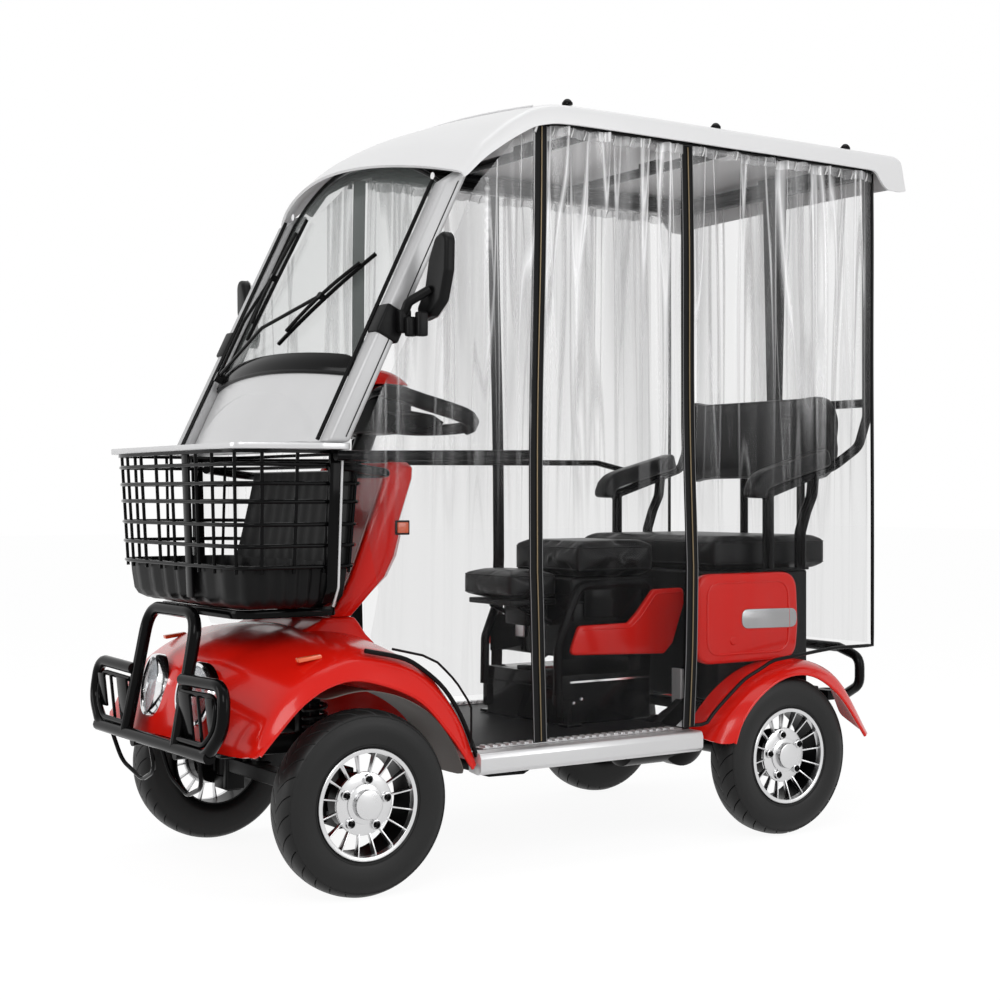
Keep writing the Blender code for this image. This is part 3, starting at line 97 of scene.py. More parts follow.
def finish(name, colour, roughness, metallic=0.0, coat=0.0, grain=900.0, bump=0.05, wear=0.10, vary=0.06,
           pattern="noise", sheen=0.0, scale=(1, 1, 1), distance=0.0006, shine=0.5):
    """A paint, metal, rubber or moulding with grain in its surface and slow changes in colour and gloss."""
    material = bpy.data.materials.new(name)
    material.use_nodes = True
    shader = shader_of(material)
    shader.inputs["Metallic"].default_value = metallic
    shader.inputs["Coat Weight"].default_value = coat
    shader.inputs["Coat Roughness"].default_value = 0.04
    shader.inputs["Sheen Weight"].default_value = sheen
    shader.inputs["Specular IOR Level"].default_value = shine
    link = material.node_tree.links.new
    place = object_place(material, scale)
    slow = add_node(material, "ShaderNodeTexNoise", [(place.outputs[0], "Vector")], Scale=9.0, Detail=4.0)
    tint = add_node(material, "ShaderNodeMix", [(slow.outputs["Fac"], "Factor")], data_type="RGBA")
    dark = [max(0.0, c * (1 - vary)) for c in colour]
    light = [min(1.0, c * (1 + vary)) for c in colour]
    tint.inputs[6].default_value = (*dark, 1.0)
    tint.inputs[7].default_value = (*light, 1.0)
    link(tint.outputs[2], shader.inputs["Base Color"])
    gloss = add_node(material, "ShaderNodeMapRange", [(slow.outputs["Fac"], "Value")])
    gloss.inputs["To Min"].default_value = max(0.02, roughness - wear * roughness)
    gloss.inputs["To Max"].default_value = min(1.0, roughness + wear * roughness)
    link(gloss.outputs[0], shader.inputs["Roughness"])
    if pattern == "voronoi":
        fine = add_node(material, "ShaderNodeTexVoronoi", [(place.outputs[0], "Vector")], Scale=grain)
        height = fine.outputs["Distance"]
    else:
        fine = add_node(material, "ShaderNodeTexNoise", [(place.outputs[0], "Vector")], Scale=grain, Detail=3.0)
        height = fine.outputs["Fac"]
    relief = add_node(material, "ShaderNodeBump", [(height, "Height")], Strength=bump, Distance=distance)
    link(relief.outputs[0], shader.inputs["Normal"])
    material.diffuse_color = (*colour, 1.0)
    return material


# Film streaks, painted highlights that stand in for the lamps' reflections down the folds: stretch across and up, lean,
# noise level that a line follows, half width there, weight
FILM_HIGHLIGHT_STREAKS = ((9.0, 0.40, 3.4, 0.50, 0.026, 1.0), (9.0, 0.42, -3.8, 0.47, 0.022, 1.0),
                (13.0, 0.45, 0.6, 0.56, 0.022, 0.9), (5.5, 0.25, 1.2, 0.57, 0.085, 0.50))


def clear_film(name="clear_film", base=0.105, highlighted=0.74):
    """Clear curtain film: nearly clear, with painted highlights: white streaks down its folds that are strongest near
    the track, and a painted pale sheen that grows towards the top.
    """
    material = bpy.data.materials.new(name)
    material.use_nodes = True
    shader = shader_of(material)
    shader.inputs["Roughness"].default_value = 0.10
    shader.inputs["IOR"].default_value = 1.5
    link = material.node_tree.links.new
    raw = add_node(material, "ShaderNodeTexCoord")
    parts = add_node(material, "ShaderNodeSeparateXYZ", [(raw.outputs["Object"], "Vector")])
    bands = None
    # Each streak is a painted highlight: a thin white band where a noise field passes one level.
    for across, upright, lean, level, width, weight in FILM_HIGHLIGHT_STREAKS:
        place = object_place(material, (across, across, upright))
        place.inputs["Rotation"].default_value = (math.radians(lean), 0, 0)
        highlight_noise = add_node(material, "ShaderNodeTexNoise", [(place.outputs[0], "Vector")], Scale=1.0, Detail=1.2)
        off = add_node(material, "ShaderNodeMath", [(highlight_noise.outputs["Fac"], 0)], operation="SUBTRACT")
        off.inputs[1].default_value = level
        away = add_node(material, "ShaderNodeMath", [(off.outputs[0], 0)], operation="ABSOLUTE")
        band = add_node(material, "ShaderNodeMapRange", [(away.outputs[0], "Value")])
        band.inputs["From Max"].default_value = width
        band.inputs["To Min"].default_value = weight
        band.inputs["To Max"].default_value = 0.0
        if bands is None:
            bands = band
        else:
            bands = add_node(material, "ShaderNodeMath", [(bands.outputs[0], 0), (band.outputs[0], 1)],
                             operation="MAXIMUM")
    # Painted highlight: the streaks fade out towards the bottom of the sheet.
    height = add_node(material, "ShaderNodeMapRange", [(parts.outputs["Z"], "Value")])
    height.inputs["From Min"].default_value = 0.70
    height.inputs["From Max"].default_value = 1.35
    height.inputs["To Min"].default_value = 0.04
    height.inputs["To Max"].default_value = 1.0
    share = add_node(material, "ShaderNodeMath", [(bands.outputs[0], 0), (height.outputs[0], 1)], operation="MULTIPLY")
    # Painted sheen: the film turns paler and whiter towards the top, standing in for reflected light.
    painted_sheen = add_node(material, "ShaderNodeMapRange", [(parts.outputs["Z"], "Value")])
    painted_sheen.inputs["From Min"].default_value = 0.85
    painted_sheen.inputs["From Max"].default_value = 1.60
    painted_sheen.inputs["To Max"].default_value = 0.55
    sheen_and_highlight = add_node(material, "ShaderNodeMath", [(share.outputs[0], 0), (painted_sheen.outputs[0], 1)], operation="MAXIMUM")
    tint = add_node(material, "ShaderNodeMix", [(sheen_and_highlight.outputs[0], "Factor")], data_type="RGBA")
    tint.inputs[6].default_value = (0.020, 0.020, 0.021, 1)
    tint.inputs[7].default_value = (0.92, 0.92, 0.93, 1)
    link(tint.outputs[2], shader.inputs["Base Color"])
    # The painted highlights also make the film less clear where they lie.
    cover = add_node(material, "ShaderNodeMapRange", [(share.outputs[0], "Value")])
    cover.inputs["To Min"].default_value = base
    cover.inputs["To Max"].default_value = highlighted
    edge = add_node(material, "ShaderNodeLayerWeight", Blend=0.20)
    grow = add_node(material, "ShaderNodeMapRange", [(edge.outputs["Facing"], "Value")])
    grow.inputs["From Min"].default_value = 0.35
    grow.inputs["To Max"].default_value = 0.12
    both = add_node(material, "ShaderNodeMath", [(cover.outputs[0], 0), (grow.outputs[0], 1)], operation="ADD")
    both.use_clamp = True
    link(both.outputs[0], shader.inputs["Alpha"])
    return material


def glass(name, colour, alpha, rim, roughness=0.03):
    """Clear glazing: see-through face on and brighter towards its edges."""
    material = bpy.data.materials.new(name)
    material.use_nodes = True
    shader = shader_of(material)
    shader.inputs["Base Color"].default_value = (*colour, 1.0)
    shader.inputs["IOR"].default_value = 1.5
    link = material.node_tree.links.new
    edge = add_node(material, "ShaderNodeLayerWeight", Blend=0.35)
    clear = add_node(material, "ShaderNodeMapRange", [(edge.outputs["Facing"], "Value")])
    clear.inputs["To Min"].default_value = alpha
    clear.inputs["To Max"].default_value = rim
    link(clear.outputs[0], shader.inputs["Alpha"])
    place = object_place(material)
    haze = add_node(material, "ShaderNodeTexNoise", [(place.outputs[0], "Vector")], Scale=6.0, Detail=2.0)
    gloss = add_node(material, "ShaderNodeMapRange", [(haze.outputs["Fac"], "Value")])
    gloss.inputs["To Min"].default_value = roughness
    gloss.inputs["To Max"].default_value = roughness + 0.05
    link(gloss.outputs[0], shader.inputs["Roughness"])
    return material


FINISHES = {
    "red_gloss": finish("red_gloss", (0.660, 0.0095, 0.0045), 0.20, coat=0.16, grain=260, bump=0.02, vary=0.05,
                        shine=0.16),
    "roof_white": finish("roof_white", (0.700, 0.700, 0.705), 0.32, coat=0.10, grain=260, bump=0.02, vary=0.02),
    "silver": finish("silver", (0.600, 0.600, 0.605), 0.30, metallic=0.45, grain=2600, bump=0.05, vary=0.04),
    # Painted shade: a darker copy of the silver finish, for the shade on the windscreen pillars.
    "pillar_shaded_silver": finish("pillar_shaded_silver", (0.450, 0.450, 0.455), 0.42, metallic=0.25, grain=2600, bump=0.05,
                            vary=0.05),
    "black_gloss": finish("black_gloss", (0.0025, 0.0025, 0.0027), 0.12, grain=700, bump=0.03, vary=0.20, shine=0.075),
    "black_satin": finish("black_satin", (0.0032, 0.0032, 0.0034), 0.30, grain=1100, bump=0.10, vary=0.20,
                          shine=0.10),
    "black_mould": finish("black_mould", (0.0048, 0.0048, 0.0050), 0.38, grain=800, bump=0.10, pattern="voronoi",
                          vary=0.15, shine=0.11),
    "leather": finish("leather", (0.0062, 0.0062, 0.0066), 0.33, grain=420, bump=0.04, pattern="voronoi", vary=0.20,
                      sheen=0.01, distance=0.0005, shine=0.17),
    "tyre": finish("tyre", (0.0090, 0.0090, 0.0090), 0.45, grain=600, bump=0.12, vary=0.25, shine=0.25),
    "alloy": finish("alloy", (0.640, 0.640, 0.645), 0.28, metallic=1.0, grain=1800, bump=0.06, vary=0.08),
    "bright": finish("bright", (0.800, 0.800, 0.810), 0.12, metallic=1.0, grain=900, bump=0.02, vary=0.05),
    "brass": finish("brass", (0.200, 0.150, 0.085), 0.40, metallic=0.7, grain=1500, bump=0.15),
    "zip_tape": finish("zip_tape", (0.0025, 0.0025, 0.0028), 0.60, grain=1700, bump=0.50, scale=(1, 1, 0.3),
                       shine=0.15),
    "mat": finish("mat", (0.0075, 0.0075, 0.0078), 0.42, grain=500, bump=0.30, pattern="voronoi", shine=0.16),
    "liner": finish("liner", (0.085, 0.068, 0.058), 0.55, grain=500, bump=0.15),
    "orange": finish("orange", (0.780, 0.120, 0.030), 0.18, coat=0.6, grain=900, bump=0.25, pattern="voronoi"),
    "lamp_red": finish("lamp_red", (0.420, 0.008, 0.008), 0.12, coat=0.8, grain=420, bump=0.30, pattern="voronoi"),
    "reflector": finish("reflector", (0.400, 0.400, 0.405), 0.22, metallic=0.8, grain=700, bump=0.25,
                        pattern="voronoi", vary=0.25),
    "hook": finish("hook", (0.700, 0.700, 0.700), 0.40, grain=900, bump=0.10),
    "hem": finish("hem", (0.160, 0.160, 0.165), 0.40, grain=900, bump=0.10),
    # Both curtain films carry painted highlights: white streaks down the folds and a paler painted sheen towards the
    # top.
    "film": clear_film(),
    "header": clear_film("header_film", 0.30, 0.85),
    "screen": glass("screen", (0.30, 0.33, 0.32), 0.06, 0.40),
    "lens": glass("lens", (0.60, 0.63, 0.66), 0.15, 0.60),
}


# Ways of making
def only(piece):
    """Select and activate one piece."""
    bpy.ops.object.select_all(action="DESELECT")
    piece.select_set(True)
    bpy.context.view_layer.objects.active = piece
    return piece


def in_edit(piece, *steps):
    """Run edit mode steps on one piece."""
    only(piece)
    bpy.ops.object.mode_set(mode="EDIT")
    for step in steps:
        step()
    bpy.ops.object.mode_set(mode="OBJECT")
    return piece


def everything():
    bpy.ops.mesh.select_all(action="SELECT")


def merged():
    bpy.ops.mesh.select_all(action="SELECT")
    bpy.ops.mesh.remove_doubles(threshold=0.00002)


def outward():
    bpy.ops.mesh.select_all(action="SELECT")
    bpy.ops.mesh.normals_make_consistent(inside=False)


def applied(piece, kind, **values):
    """Add a modifier, set it and apply it."""
    only(piece)
    change = piece.modifiers.new(kind.title(), kind)
    for name, value in values.items():
        setattr(change, name, value)
    bpy.ops.object.modifier_apply(modifier=change.name)
    return piece


def smoothed(piece, levels=1):
    return applied(piece, "SUBSURF", levels=levels, render_levels=levels)


def bevelled(piece, width, segments=3, angle=30):
    return applied(piece, "BEVEL", width=width, segments=segments, limit_method="ANGLE",
                   angle_limit=math.radians(angle), harden_normals=False)


def walled(piece, thickness, offset=-1.0):
    return applied(piece, "SOLIDIFY", thickness=thickness, offset=offset, use_even_offset=True)


def settled(piece, name, look, body="chassis", nodes=(), angle=40.0):
    """Name a finished piece, give it its finish, its body and the nodes that it stands for."""
    only(piece)
    bpy.ops.object.transform_apply(location=True, rotation=True, scale=True)
    bpy.ops.object.shade_smooth_by_angle(angle=math.radians(angle))
    piece.name = name
    piece.data.name = name
    piece.data.materials.clear()
    piece.data.materials.append(FINISHES[look])
    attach(piece, body)
    if nodes:
        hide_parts(*nodes)
    return piece


def joined(pieces):
    """Join pieces of one finish into one object."""
    bpy.ops.object.select_all(action="DESELECT")
    for piece in pieces:
        piece.select_set(True)
    bpy.context.view_layer.objects.active = pieces[0]
    bpy.ops.object.join()
    return bpy.context.object


def moved_copy(piece, change):
    """A copy of a piece with its own mesh, moved, turned or mirrored by a matrix."""
    made = piece.copy()
    made.data = piece.data.copy()
    bpy.context.scene.collection.objects.link(made)
    made.data.transform(change)
    if change.determinant() < 0:
        made.data.flip_normals()
    return made


def slab(low, high, bevel=0.0, segments=3):
    """A block with rounded edges between two corners."""
    middle = [(a + b) / 2 for a, b in zip(low, high)]
    size = [abs(b - a) for a, b in zip(low, high)]
    bpy.ops.object.select_all(action="DESELECT")
    bpy.ops.mesh.primitive_cube_add(size=1, location=middle, scale=size)
    piece = bpy.context.object
    bpy.ops.object.transform_apply(location=True, rotation=True, scale=True)
    if bevel:
        applied(piece, "BEVEL", width=bevel, segments=segments)
    return piece


def arc(here, back, ahead, radius, steps):
    """Points of the arc that rounds one corner."""
    angle = back.angle(ahead)
    if angle > math.pi - 0.03:
        return [here]
    reach = min(radius / math.tan(angle / 2), 0.49 * back.length, 0.49 * ahead.length)
    start = here + back.normalized() * reach
    end = here + ahead.normalized() * reach
    spots = []
    for k in range(steps + 1):
        t = k / steps
        spots.append(start * (1 - t) ** 2 + here * 2 * t * (1 - t) + end * t ** 2)
    return spots


def rounded(points, radius, steps=6, closed=False):
    """A path with its inner corners turned into arcs."""
    spots = [Vector(p) for p in points]
    path = []
    for i, spot in enumerate(spots):
        if not closed and i in (0, len(spots) - 1):
            path.append(spot)
        else:
            path += arc(spot, spots[i - 1] - spot, spots[(i + 1) % len(spots)] - spot, radius, steps)
    return path


def tube(points, radius, bend=0.0, closed=False, resolution=3, steps=6):
    """A round tube on a path, made from a curve with a round bevel."""
    path = rounded(points, bend, steps, closed) if bend else [Vector(p) for p in points]
    bpy.ops.object.select_all(action="DESELECT")
    bpy.ops.curve.primitive_bezier_curve_add()
    piece = bpy.context.object
    curve = piece.data
    curve.splines.clear()
    line = curve.splines.new("POLY")
    line.points.add(len(path) - 1)
    for spot, place in zip(line.points, path):
        spot.co = (*place, 1.0)
    line.use_cyclic_u = closed
    curve.dimensions = "3D"
    curve.bevel_depth = radius
    curve.bevel_resolution = resolution
    curve.use_fill_caps = not closed
    bpy.ops.object.convert(target="MESH")
    return in_edit(bpy.context.object, merged, outward)


def strip(points, width, height, up=(0, 0, 1), bend=0.0, closed=False, bevel=0.0):
    """A flat bar on a path: a grid whose rows follow the path, closed at both ends."""
    path = rounded(points, bend, 5, closed) if bend else [Vector(p) for p in points]
    rings = []
    count = len(path)
    for i, here in enumerate(path):
        before = path[i - 1] if closed or i else None
        after = path[(i + 1) % count] if closed or i < count - 1 else None
        one = (here - before).normalized() if before is not None else None
        two = (after - here).normalized() if after is not None else None
        along = (one + two).normalized() if one and two else (one or two)
        side = along.cross(Vector(up)).normalized()
        lift = side.cross(along).normalized()
        rings.append([here + side * a * width / 2 + lift * b * height / 2
                      for a, b in ((-1, -1), (1, -1), (1, 1), (-1, 1))])
    piece = loft(rings, ring_closed=closed)
    if bevel:
        bevelled(piece, bevel, 2)
    return piece


def loft(rings, ring_closed=False, caps=True, smooth=0):
    """A closed skin through rings of the same number of points."""
    rows, columns = len(rings), len(rings[0])
    bpy.ops.object.select_all(action="DESELECT")
    spans = rows if ring_closed else rows - 1
    bpy.ops.mesh.primitive_grid_add(x_subdivisions=columns, y_subdivisions=spans, size=1)
    piece = bpy.context.object
    for i, vert in enumerate(piece.data.vertices):
        row, column = divmod(i, columns + 1)
        vert.co = rings[row % rows][column % columns]
    steps = [merged]
    if caps and not ring_closed:
        steps.append(lambda: (bpy.ops.mesh.select_all(action="DESELECT"), bpy.ops.mesh.select_non_manifold(),
                              bpy.ops.mesh.fill_holes(sides=0)))
    steps.append(outward)
    in_edit(piece, *steps)
    if smooth:
        smoothed(piece, smooth)
    return piece


def skin(place, columns, rows, thickness=0.0, smooth=0, offset=-1.0):
    """An open sheet on a grid: place gives each point from its column and row share."""
    bpy.ops.object.select_all(action="DESELECT")
    bpy.ops.mesh.primitive_grid_add(x_subdivisions=columns, y_subdivisions=rows, size=1)
    piece = bpy.context.object
    for vert in piece.data.vertices:
        vert.co = place(vert.co.x + 0.5, vert.co.y + 0.5)
    if smooth:
        smoothed(piece, smooth)
    if thickness:
        walled(piece, thickness, offset)
        in_edit(piece, outward)
    return piece


def plate(outline, axis, low, high, bevel=0.0, segments=3):
    """A flat outline pushed out along one axis, with rounded edges."""
    bpy.ops.object.select_all(action="DESELECT")
    bpy.ops.mesh.primitive_circle_add(vertices=len(outline), radius=1, fill_type="NGON")
    piece = bpy.context.object
    for vert, (a, b) in zip(piece.data.vertices, outline):
        vert.co = {"x": (low, a, b), "y": (a, low, b), "z": (a, b, low)}[axis]
    step = {"x": (high - low, 0, 0), "y": (0, high - low, 0), "z": (0, 0, high - low)}[axis]
    in_edit(piece, everything,
            lambda: bpy.ops.mesh.extrude_region_move(TRANSFORM_OT_translate={"value": step}), outward)
    if bevel:
        bevelled(piece, bevel, segments, 50)
    return piece


def turned(profile, centre, side=1, axis="x", steps=64, closed=False):
    """A profile of (radius, along) points spun once round an axis."""
    bpy.ops.object.select_all(action="DESELECT")
    bpy.ops.mesh.primitive_circle_add(vertices=len(profile), radius=1)
    piece = bpy.context.object
    for vert, (radius, along) in zip(piece.data.vertices, profile):
        reach = side * along
        offset = {"x": (reach, radius, 0), "y": (radius, reach, 0), "z": (radius, 0, reach)}[axis]
        vert.co = Vector(centre) + Vector(offset)
    if not closed:
        for part in (*piece.data.vertices, *piece.data.edges):
            part.select = False
        ends = {0, len(profile) - 1}
        for edge in piece.data.edges:
            edge.select = set(edge.vertices) == ends
        for end in ends:
            piece.data.vertices[end].select = True
        in_edit(piece, lambda: bpy.ops.mesh.delete(type="EDGE"))
    about = {"x": (1, 0, 0), "y": (0, 1, 0), "z": (0, 0, 1)}[axis]
    in_edit(piece, everything,
            lambda: bpy.ops.mesh.spin(steps=steps, angle=2 * math.pi, center=centre, axis=about), merged,
            lambda: bpy.ops.mesh.dissolve_degenerate(threshold=0.00001), outward)
    return piece


def through(points, count):
    """Evenly spaced points on a smooth curve through the given points."""
    spots = [Vector(p) for p in points]
    spots = [spots[0] * 2 - spots[1]] + spots + [spots[-1] * 2 - spots[-2]]
    fine = []
    for i in range(1, len(spots) - 2):
        a, b, c, d = spots[i - 1:i + 3]
        for k in range(12):
            t = k / 12
            fine.append(0.5 * (2 * b + (c - a) * t + (2 * a - 5 * b + 4 * c - d) * t * t
                               + (3 * b - a - 3 * c + d) * t ** 3))
    fine.append(spots[-2])
    lengths = [0.0]
    for a, b in zip(fine, fine[1:]):
        lengths.append(lengths[-1] + (b - a).length)
    result = []
    i = 0
    for k in range(count):
        want = lengths[-1] * k / (count - 1)
        while i < len(fine) - 2 and lengths[i + 1] < want:
            i += 1
        share = (want - lengths[i]) / max(1e-9, lengths[i + 1] - lengths[i])
        result.append(fine[i].lerp(fine[i + 1], min(1.0, share)))
    return result


def column_point(z, forward=0.0, x=0.0):
    """A point on the steering column's slanted axis, moved forward of it."""
    return Vector((x, COLUMN_FOOT[1] + (z - COLUMN_FOOT[2]) * math.tan(COLUMN_LEAN) - forward, z))


def pillar_y(z):
    (y0, z0), (y1, z1) = PILLAR_FOOT, PILLAR_TOP
    return y0 + (y1 - y0) * (z - z0) / (z1 - z0)


def screen_point(x, z, lift=0.0):
    """A point on the windscreen's curved face, lifted out of it."""
    (y0, z0), (y1, z1) = PILLAR_FOOT, PILLAR_TOP
    along = Vector((0, y1 - y0, z1 - z0)).normalized()
    out = Vector((0, -along.z, along.y))
    bulge = SCREEN_BULGE * (1 - (x / SCREEN_HALF_W) ** 2)
    slope = 2 * SCREEN_BULGE * x / SCREEN_HALF_W ** 2
    face = (out + Vector((slope, 0, 0))).normalized()
    return Vector((x, pillar_y(z), z)) + out * bulge + face * lift


# Camera, floor and light
def set_camera():
    """The photograph's view: level, from the front left."""
    bpy.ops.object.camera_add(location=(3.3632, -2.2790, 0.8134), rotation=(math.pi / 2, 0, math.radians(56.04)))
    camera = bpy.context.object
    camera.data.sensor_width = 36
    camera.data.lens = 60.84
    camera.data.shift_y = -0.005
    camera.data.clip_end = 200
    bpy.context.scene.camera = camera


def seen_rays(owner):
    """1 for the camera's own rays and for those that metal and glass reflect or let through."""
    path = add_node(owner, "ShaderNodeLightPath")
    first = add_node(owner, "ShaderNodeMath", [(path.outputs["Is Camera Ray"], 0), (path.outputs["Is Glossy Ray"], 1)],
                     operation="MAXIMUM")
    return add_node(owner, "ShaderNodeMath", [(first.outputs[0], 0), (path.outputs["Is Transmission Ray"], 1)],
                    operation="MAXIMUM")


def set_stage():
    """A pale floor, a white surround and soft lamps."""
    bpy.ops.object.select_all(action="DESELECT")
    bpy.ops.mesh.primitive_plane_add(size=60, location=(0, 0, 0))
    floor = bpy.context.object
    floor.name = "floor"
    paper = bpy.data.materials.new("floor_paper")
    paper.use_nodes = True
    tree = paper.node_tree
    shader = shader_of(paper)
    shader.inputs["Base Color"].default_value = (0.90, 0.90, 0.90, 1)
    shader.inputs["Roughness"].default_value = 0.9
    glow = add_node(paper, "ShaderNodeEmission", Strength=1.08)
    seen = seen_rays(paper)
    share = add_node(paper, "ShaderNodeMath", [(seen.outputs[0], 0)], operation="MULTIPLY")
    share.inputs[1].default_value = 0.86
    mix = add_node(paper, "ShaderNodeMixShader", [(share.outputs[0], 0), (shader.outputs[0], 1), (glow.outputs[0], 2)])
    tree.links.new(mix.outputs[0], tree.nodes["Material Output"].inputs["Surface"])
    floor.data.materials.append(paper)

    world = bpy.data.worlds.new("studio")
    bpy.context.scene.world = world
    world.use_nodes = True
    tree = world.node_tree
    sky = tree.nodes["Background"]
    sky.inputs["Color"].default_value = (1, 1, 1, 1)
    seen = seen_rays(world)
    level = add_node(world, "ShaderNodeMapRange", [(seen.outputs[0], "Value")])
    level.inputs["To Min"].default_value = 0.42
    level.inputs["To Max"].default_value = 1.0
    tree.links.new(level.outputs[0], sky.inputs["Strength"])

    # name, place, size, power
    lamps = (("key", (3.2, -2.6, 3.0), 1.6, 62), ("fill", (4.0, 1.6, 1.8), 2.0, 42), ("top", (0.4, 0.2, 4.2), 2.4, 34),
             ("front", (-1.4, -3.8, 1.6), 1.8, 38))
    for name, place, size, power in lamps:
        bpy.ops.object.light_add(type="AREA", location=place)
        lamp = bpy.context.object
        lamp.name = name
        lamp.data.size = size
        lamp.data.energy = power
        lamp.rotation_euler = (Vector((0, 0, 0.8)) - Vector(place)).to_track_quat("-Z", "Y").to_euler()
    bpy.context.scene.view_settings.view_transform = "Standard"


# Wheels
TYRE_SECTION = ((0.00, 0.1900, 0.0000), (0.12, 0.1896, 0.0120), (0.22, 0.1878, 0.0235), (0.30, 0.1838, 0.0335),
                (0.36, 0.1782, 0.0398), (0.38, 0.1760, 0.0402), (0.47, 0.1640, 0.0445), (0.56, 0.1500, 0.0458),
                (0.66, 0.1350, 0.0440), (0.75, 0.1220, 0.0410), (0.82, 0.1150, 0.0365), (0.90, 0.1086, 0.0300),
                (1.00, 0.1080, 0.0000))


def tyre_profile(share):
    """Radius and half width of the tyre's section at a share of the way from crown to bead."""
    for (t0, r0, w0), (t1, r1, w1) in zip(TYRE_SECTION, TYRE_SECTION[1:]):
        if share <= t1 + 1e-9:
            k = (share - t0) / (t1 - t0)
            return r0 + (r1 - r0) * k, w0 + (w1 - w0) * k
    return TYRE_SECTION[-1][1:]


def make_tyre():
    """A tyre at the origin on the X axis, with swept grooves from each shoulder to the crown."""
    around, across = TREAD_PITCHES * 8, 56
    step = 2 * math.pi / around
    bpy.ops.object.select_all(action="DESELECT")
    bpy.ops.mesh.primitive_torus_add(major_segments=around, minor_segments=across, major_radius=0.15,
                                     minor_radius=0.04)
    piece = bpy.context.object
    for index, vert in enumerate(piece.data.vertices):
        i, j = divmod(index, across)
        turn = j / across
        side = 1 if turn <= 0.5 else -1
        share = 2 * turn if side > 0 else 2 - 2 * turn
        radius, half = tyre_profile(share)
        tread = max(0.0, 1.0 - share / 0.37)
        spread = min(1.0, (1.0 - tread) / 0.12)
        angle = i * step + 0.24 * tread ** 1.25
        column = i % 8 if side > 0 else (i + 4) % 8
        on_tread = share < 0.39
        if on_tread and column in (1, 7):
            angle += (-0.62 if column == 1 else 0.62) * step * spread
        if on_tread and column == 0 and spread > 0.6:
            radius -= 0.0032 if share > 0.08 else 0.0016
        vert.co = (side * half, radius * math.cos(angle), radius * math.sin(angle))
    ring = turned([(0.1792, 0.0385), (0.1800, 0.0397), (0.1786, 0.0406), (0.1776, 0.0400)], (0, 0, 0), 1, "x", 96,
                  closed=True)
    bead = turned([(0.1205, 0.0390), (0.1212, 0.0413), (0.1196, 0.0412), (0.1190, 0.0392)], (0, 0, 0), 1, "x", 96,
                  closed=True)
    in_edit(piece, outward)
    return joined([piece, ring, bead])


def make_rim():
    """The alloy's bright parts and its dark parts, at the origin with the outer face towards +X."""
    lip = turned([(0.1070, 0.0330), (0.1137, 0.0345), (0.1137, 0.0390), (0.1124, 0.0402), (0.1066, 0.0400),
                  (0.1050, 0.0388), (0.1038, 0.0300), (0.1046, 0.0240), (0.1068, 0.0240)], (0, 0, 0), 1, "x", 96, True)
    disc = turned([(0.0, 0.0260), (0.0385, 0.0262), (0.0405, 0.0250), (0.0412, 0.0222), (0.0600, 0.0212),
                   (0.0640, 0.0195), (0.0648, 0.0160), (0.0630, 0.0110), (0.0, 0.0110)], (0, 0, 0), 1, "x", 64)
    cap = turned([(0.0, 0.0402), (0.0268, 0.0402), (0.0292, 0.0394), (0.0302, 0.0372), (0.0306, 0.0260),
                  (0.0, 0.0260)], (0, 0, 0), 1, "x", 48)
    bright = [lip, disc, cap]
    spoke = loft([[Vector((x0, -w, r)), Vector((x1, -w, r)), Vector((x1, w, r)), Vector((x0, w, r))]
                  for r, w, x0, x1 in ((0.0600, 0.0021, 0.0120, 0.0200), (0.0800, 0.0015, 0.0140, 0.0262),
                                       (0.1052, 0.0015, 0.0150, 0.0330))])
    bevelled(spoke, 0.0006, 2)
    for k in range(SPOKES):
        bright.append(moved_copy(spoke, Matrix.Rotation(2 * math.pi * (k + 0.5) / SPOKES, 4, "X")))
    bpy.data.objects.remove(spoke)
    boss = turned([(0.0, 0.0245), (0.0070, 0.0245), (0.0085, 0.0285), (0.0100, 0.0280), (0.0108, 0.0215),
                   (0.0, 0.0210)], (0, 0.0500, 0), 1, "x", 20)
    dark = [turned([(0.1030, -0.0390), (0.1068, -0.0390), (0.1068, 0.0238), (0.1042, 0.0238), (0.1032, 0.0100)],
                   (0, 0, 0), 1, "x", 72, True),
            turned([(0.0, 0.0050), (0.0560, 0.0050), (0.0580, 0.0030), (0.0580, -0.0290), (0.0, -0.0290)],
                   (0, 0, 0), 1, "x", 48)]
    bolt = turned([(0.0, 0.0300), (0.0030, 0.0302), (0.0034, 0.0335), (0.0055, 0.0330), (0.0062, 0.0310),
                   (0.0062, 0.0240), (0.0, 0.0240)], (0, 0.0500, 0), 1, "x", 6)
    for k in range(5):
        turn = Matrix.Rotation(2 * math.pi * (k + 0.15) / 5, 4, "X")
        bright.append(moved_copy(boss, turn))
        dark.append(moved_copy(bolt, turn))
    bpy.data.objects.remove(boss)
    bpy.data.objects.remove(bolt)
    return joined(bright), joined(dark)


def make_wheels():
    """One wheel modelled at the origin, then copied to the four corners."""
    tyre = make_tyre()
    bright, dark = make_rim()
    for name, side in SIDES:
        for end, y in (("front", FRONT_AXLE_Y), ("rear", REAR_AXLE_Y)):
            place = Matrix.Translation((side * HALF_TRACK, y, TYRE_R)) @ Matrix.Diagonal((side, 1, 1, 1))
            if end == "rear":
                place = place @ Matrix.Rotation(math.radians(17), 4, "X")
            body = f"wheel_{end}_{name}"
            settled(moved_copy(tyre, place), f"tread_{end}_{name}", "tyre", body, [f"tyre_{end}_{name}"], 32)
            settled(moved_copy(bright, place), f"alloy_{end}_{name}", "alloy", body, [f"rim_{end}_{name}"], 35)
            settled(moved_copy(dark, place), f"wheel_well_{end}_{name}", "black_satin", body, (), 35)
    for piece in (tyre, bright, dark):
        bpy.data.objects.remove(piece)


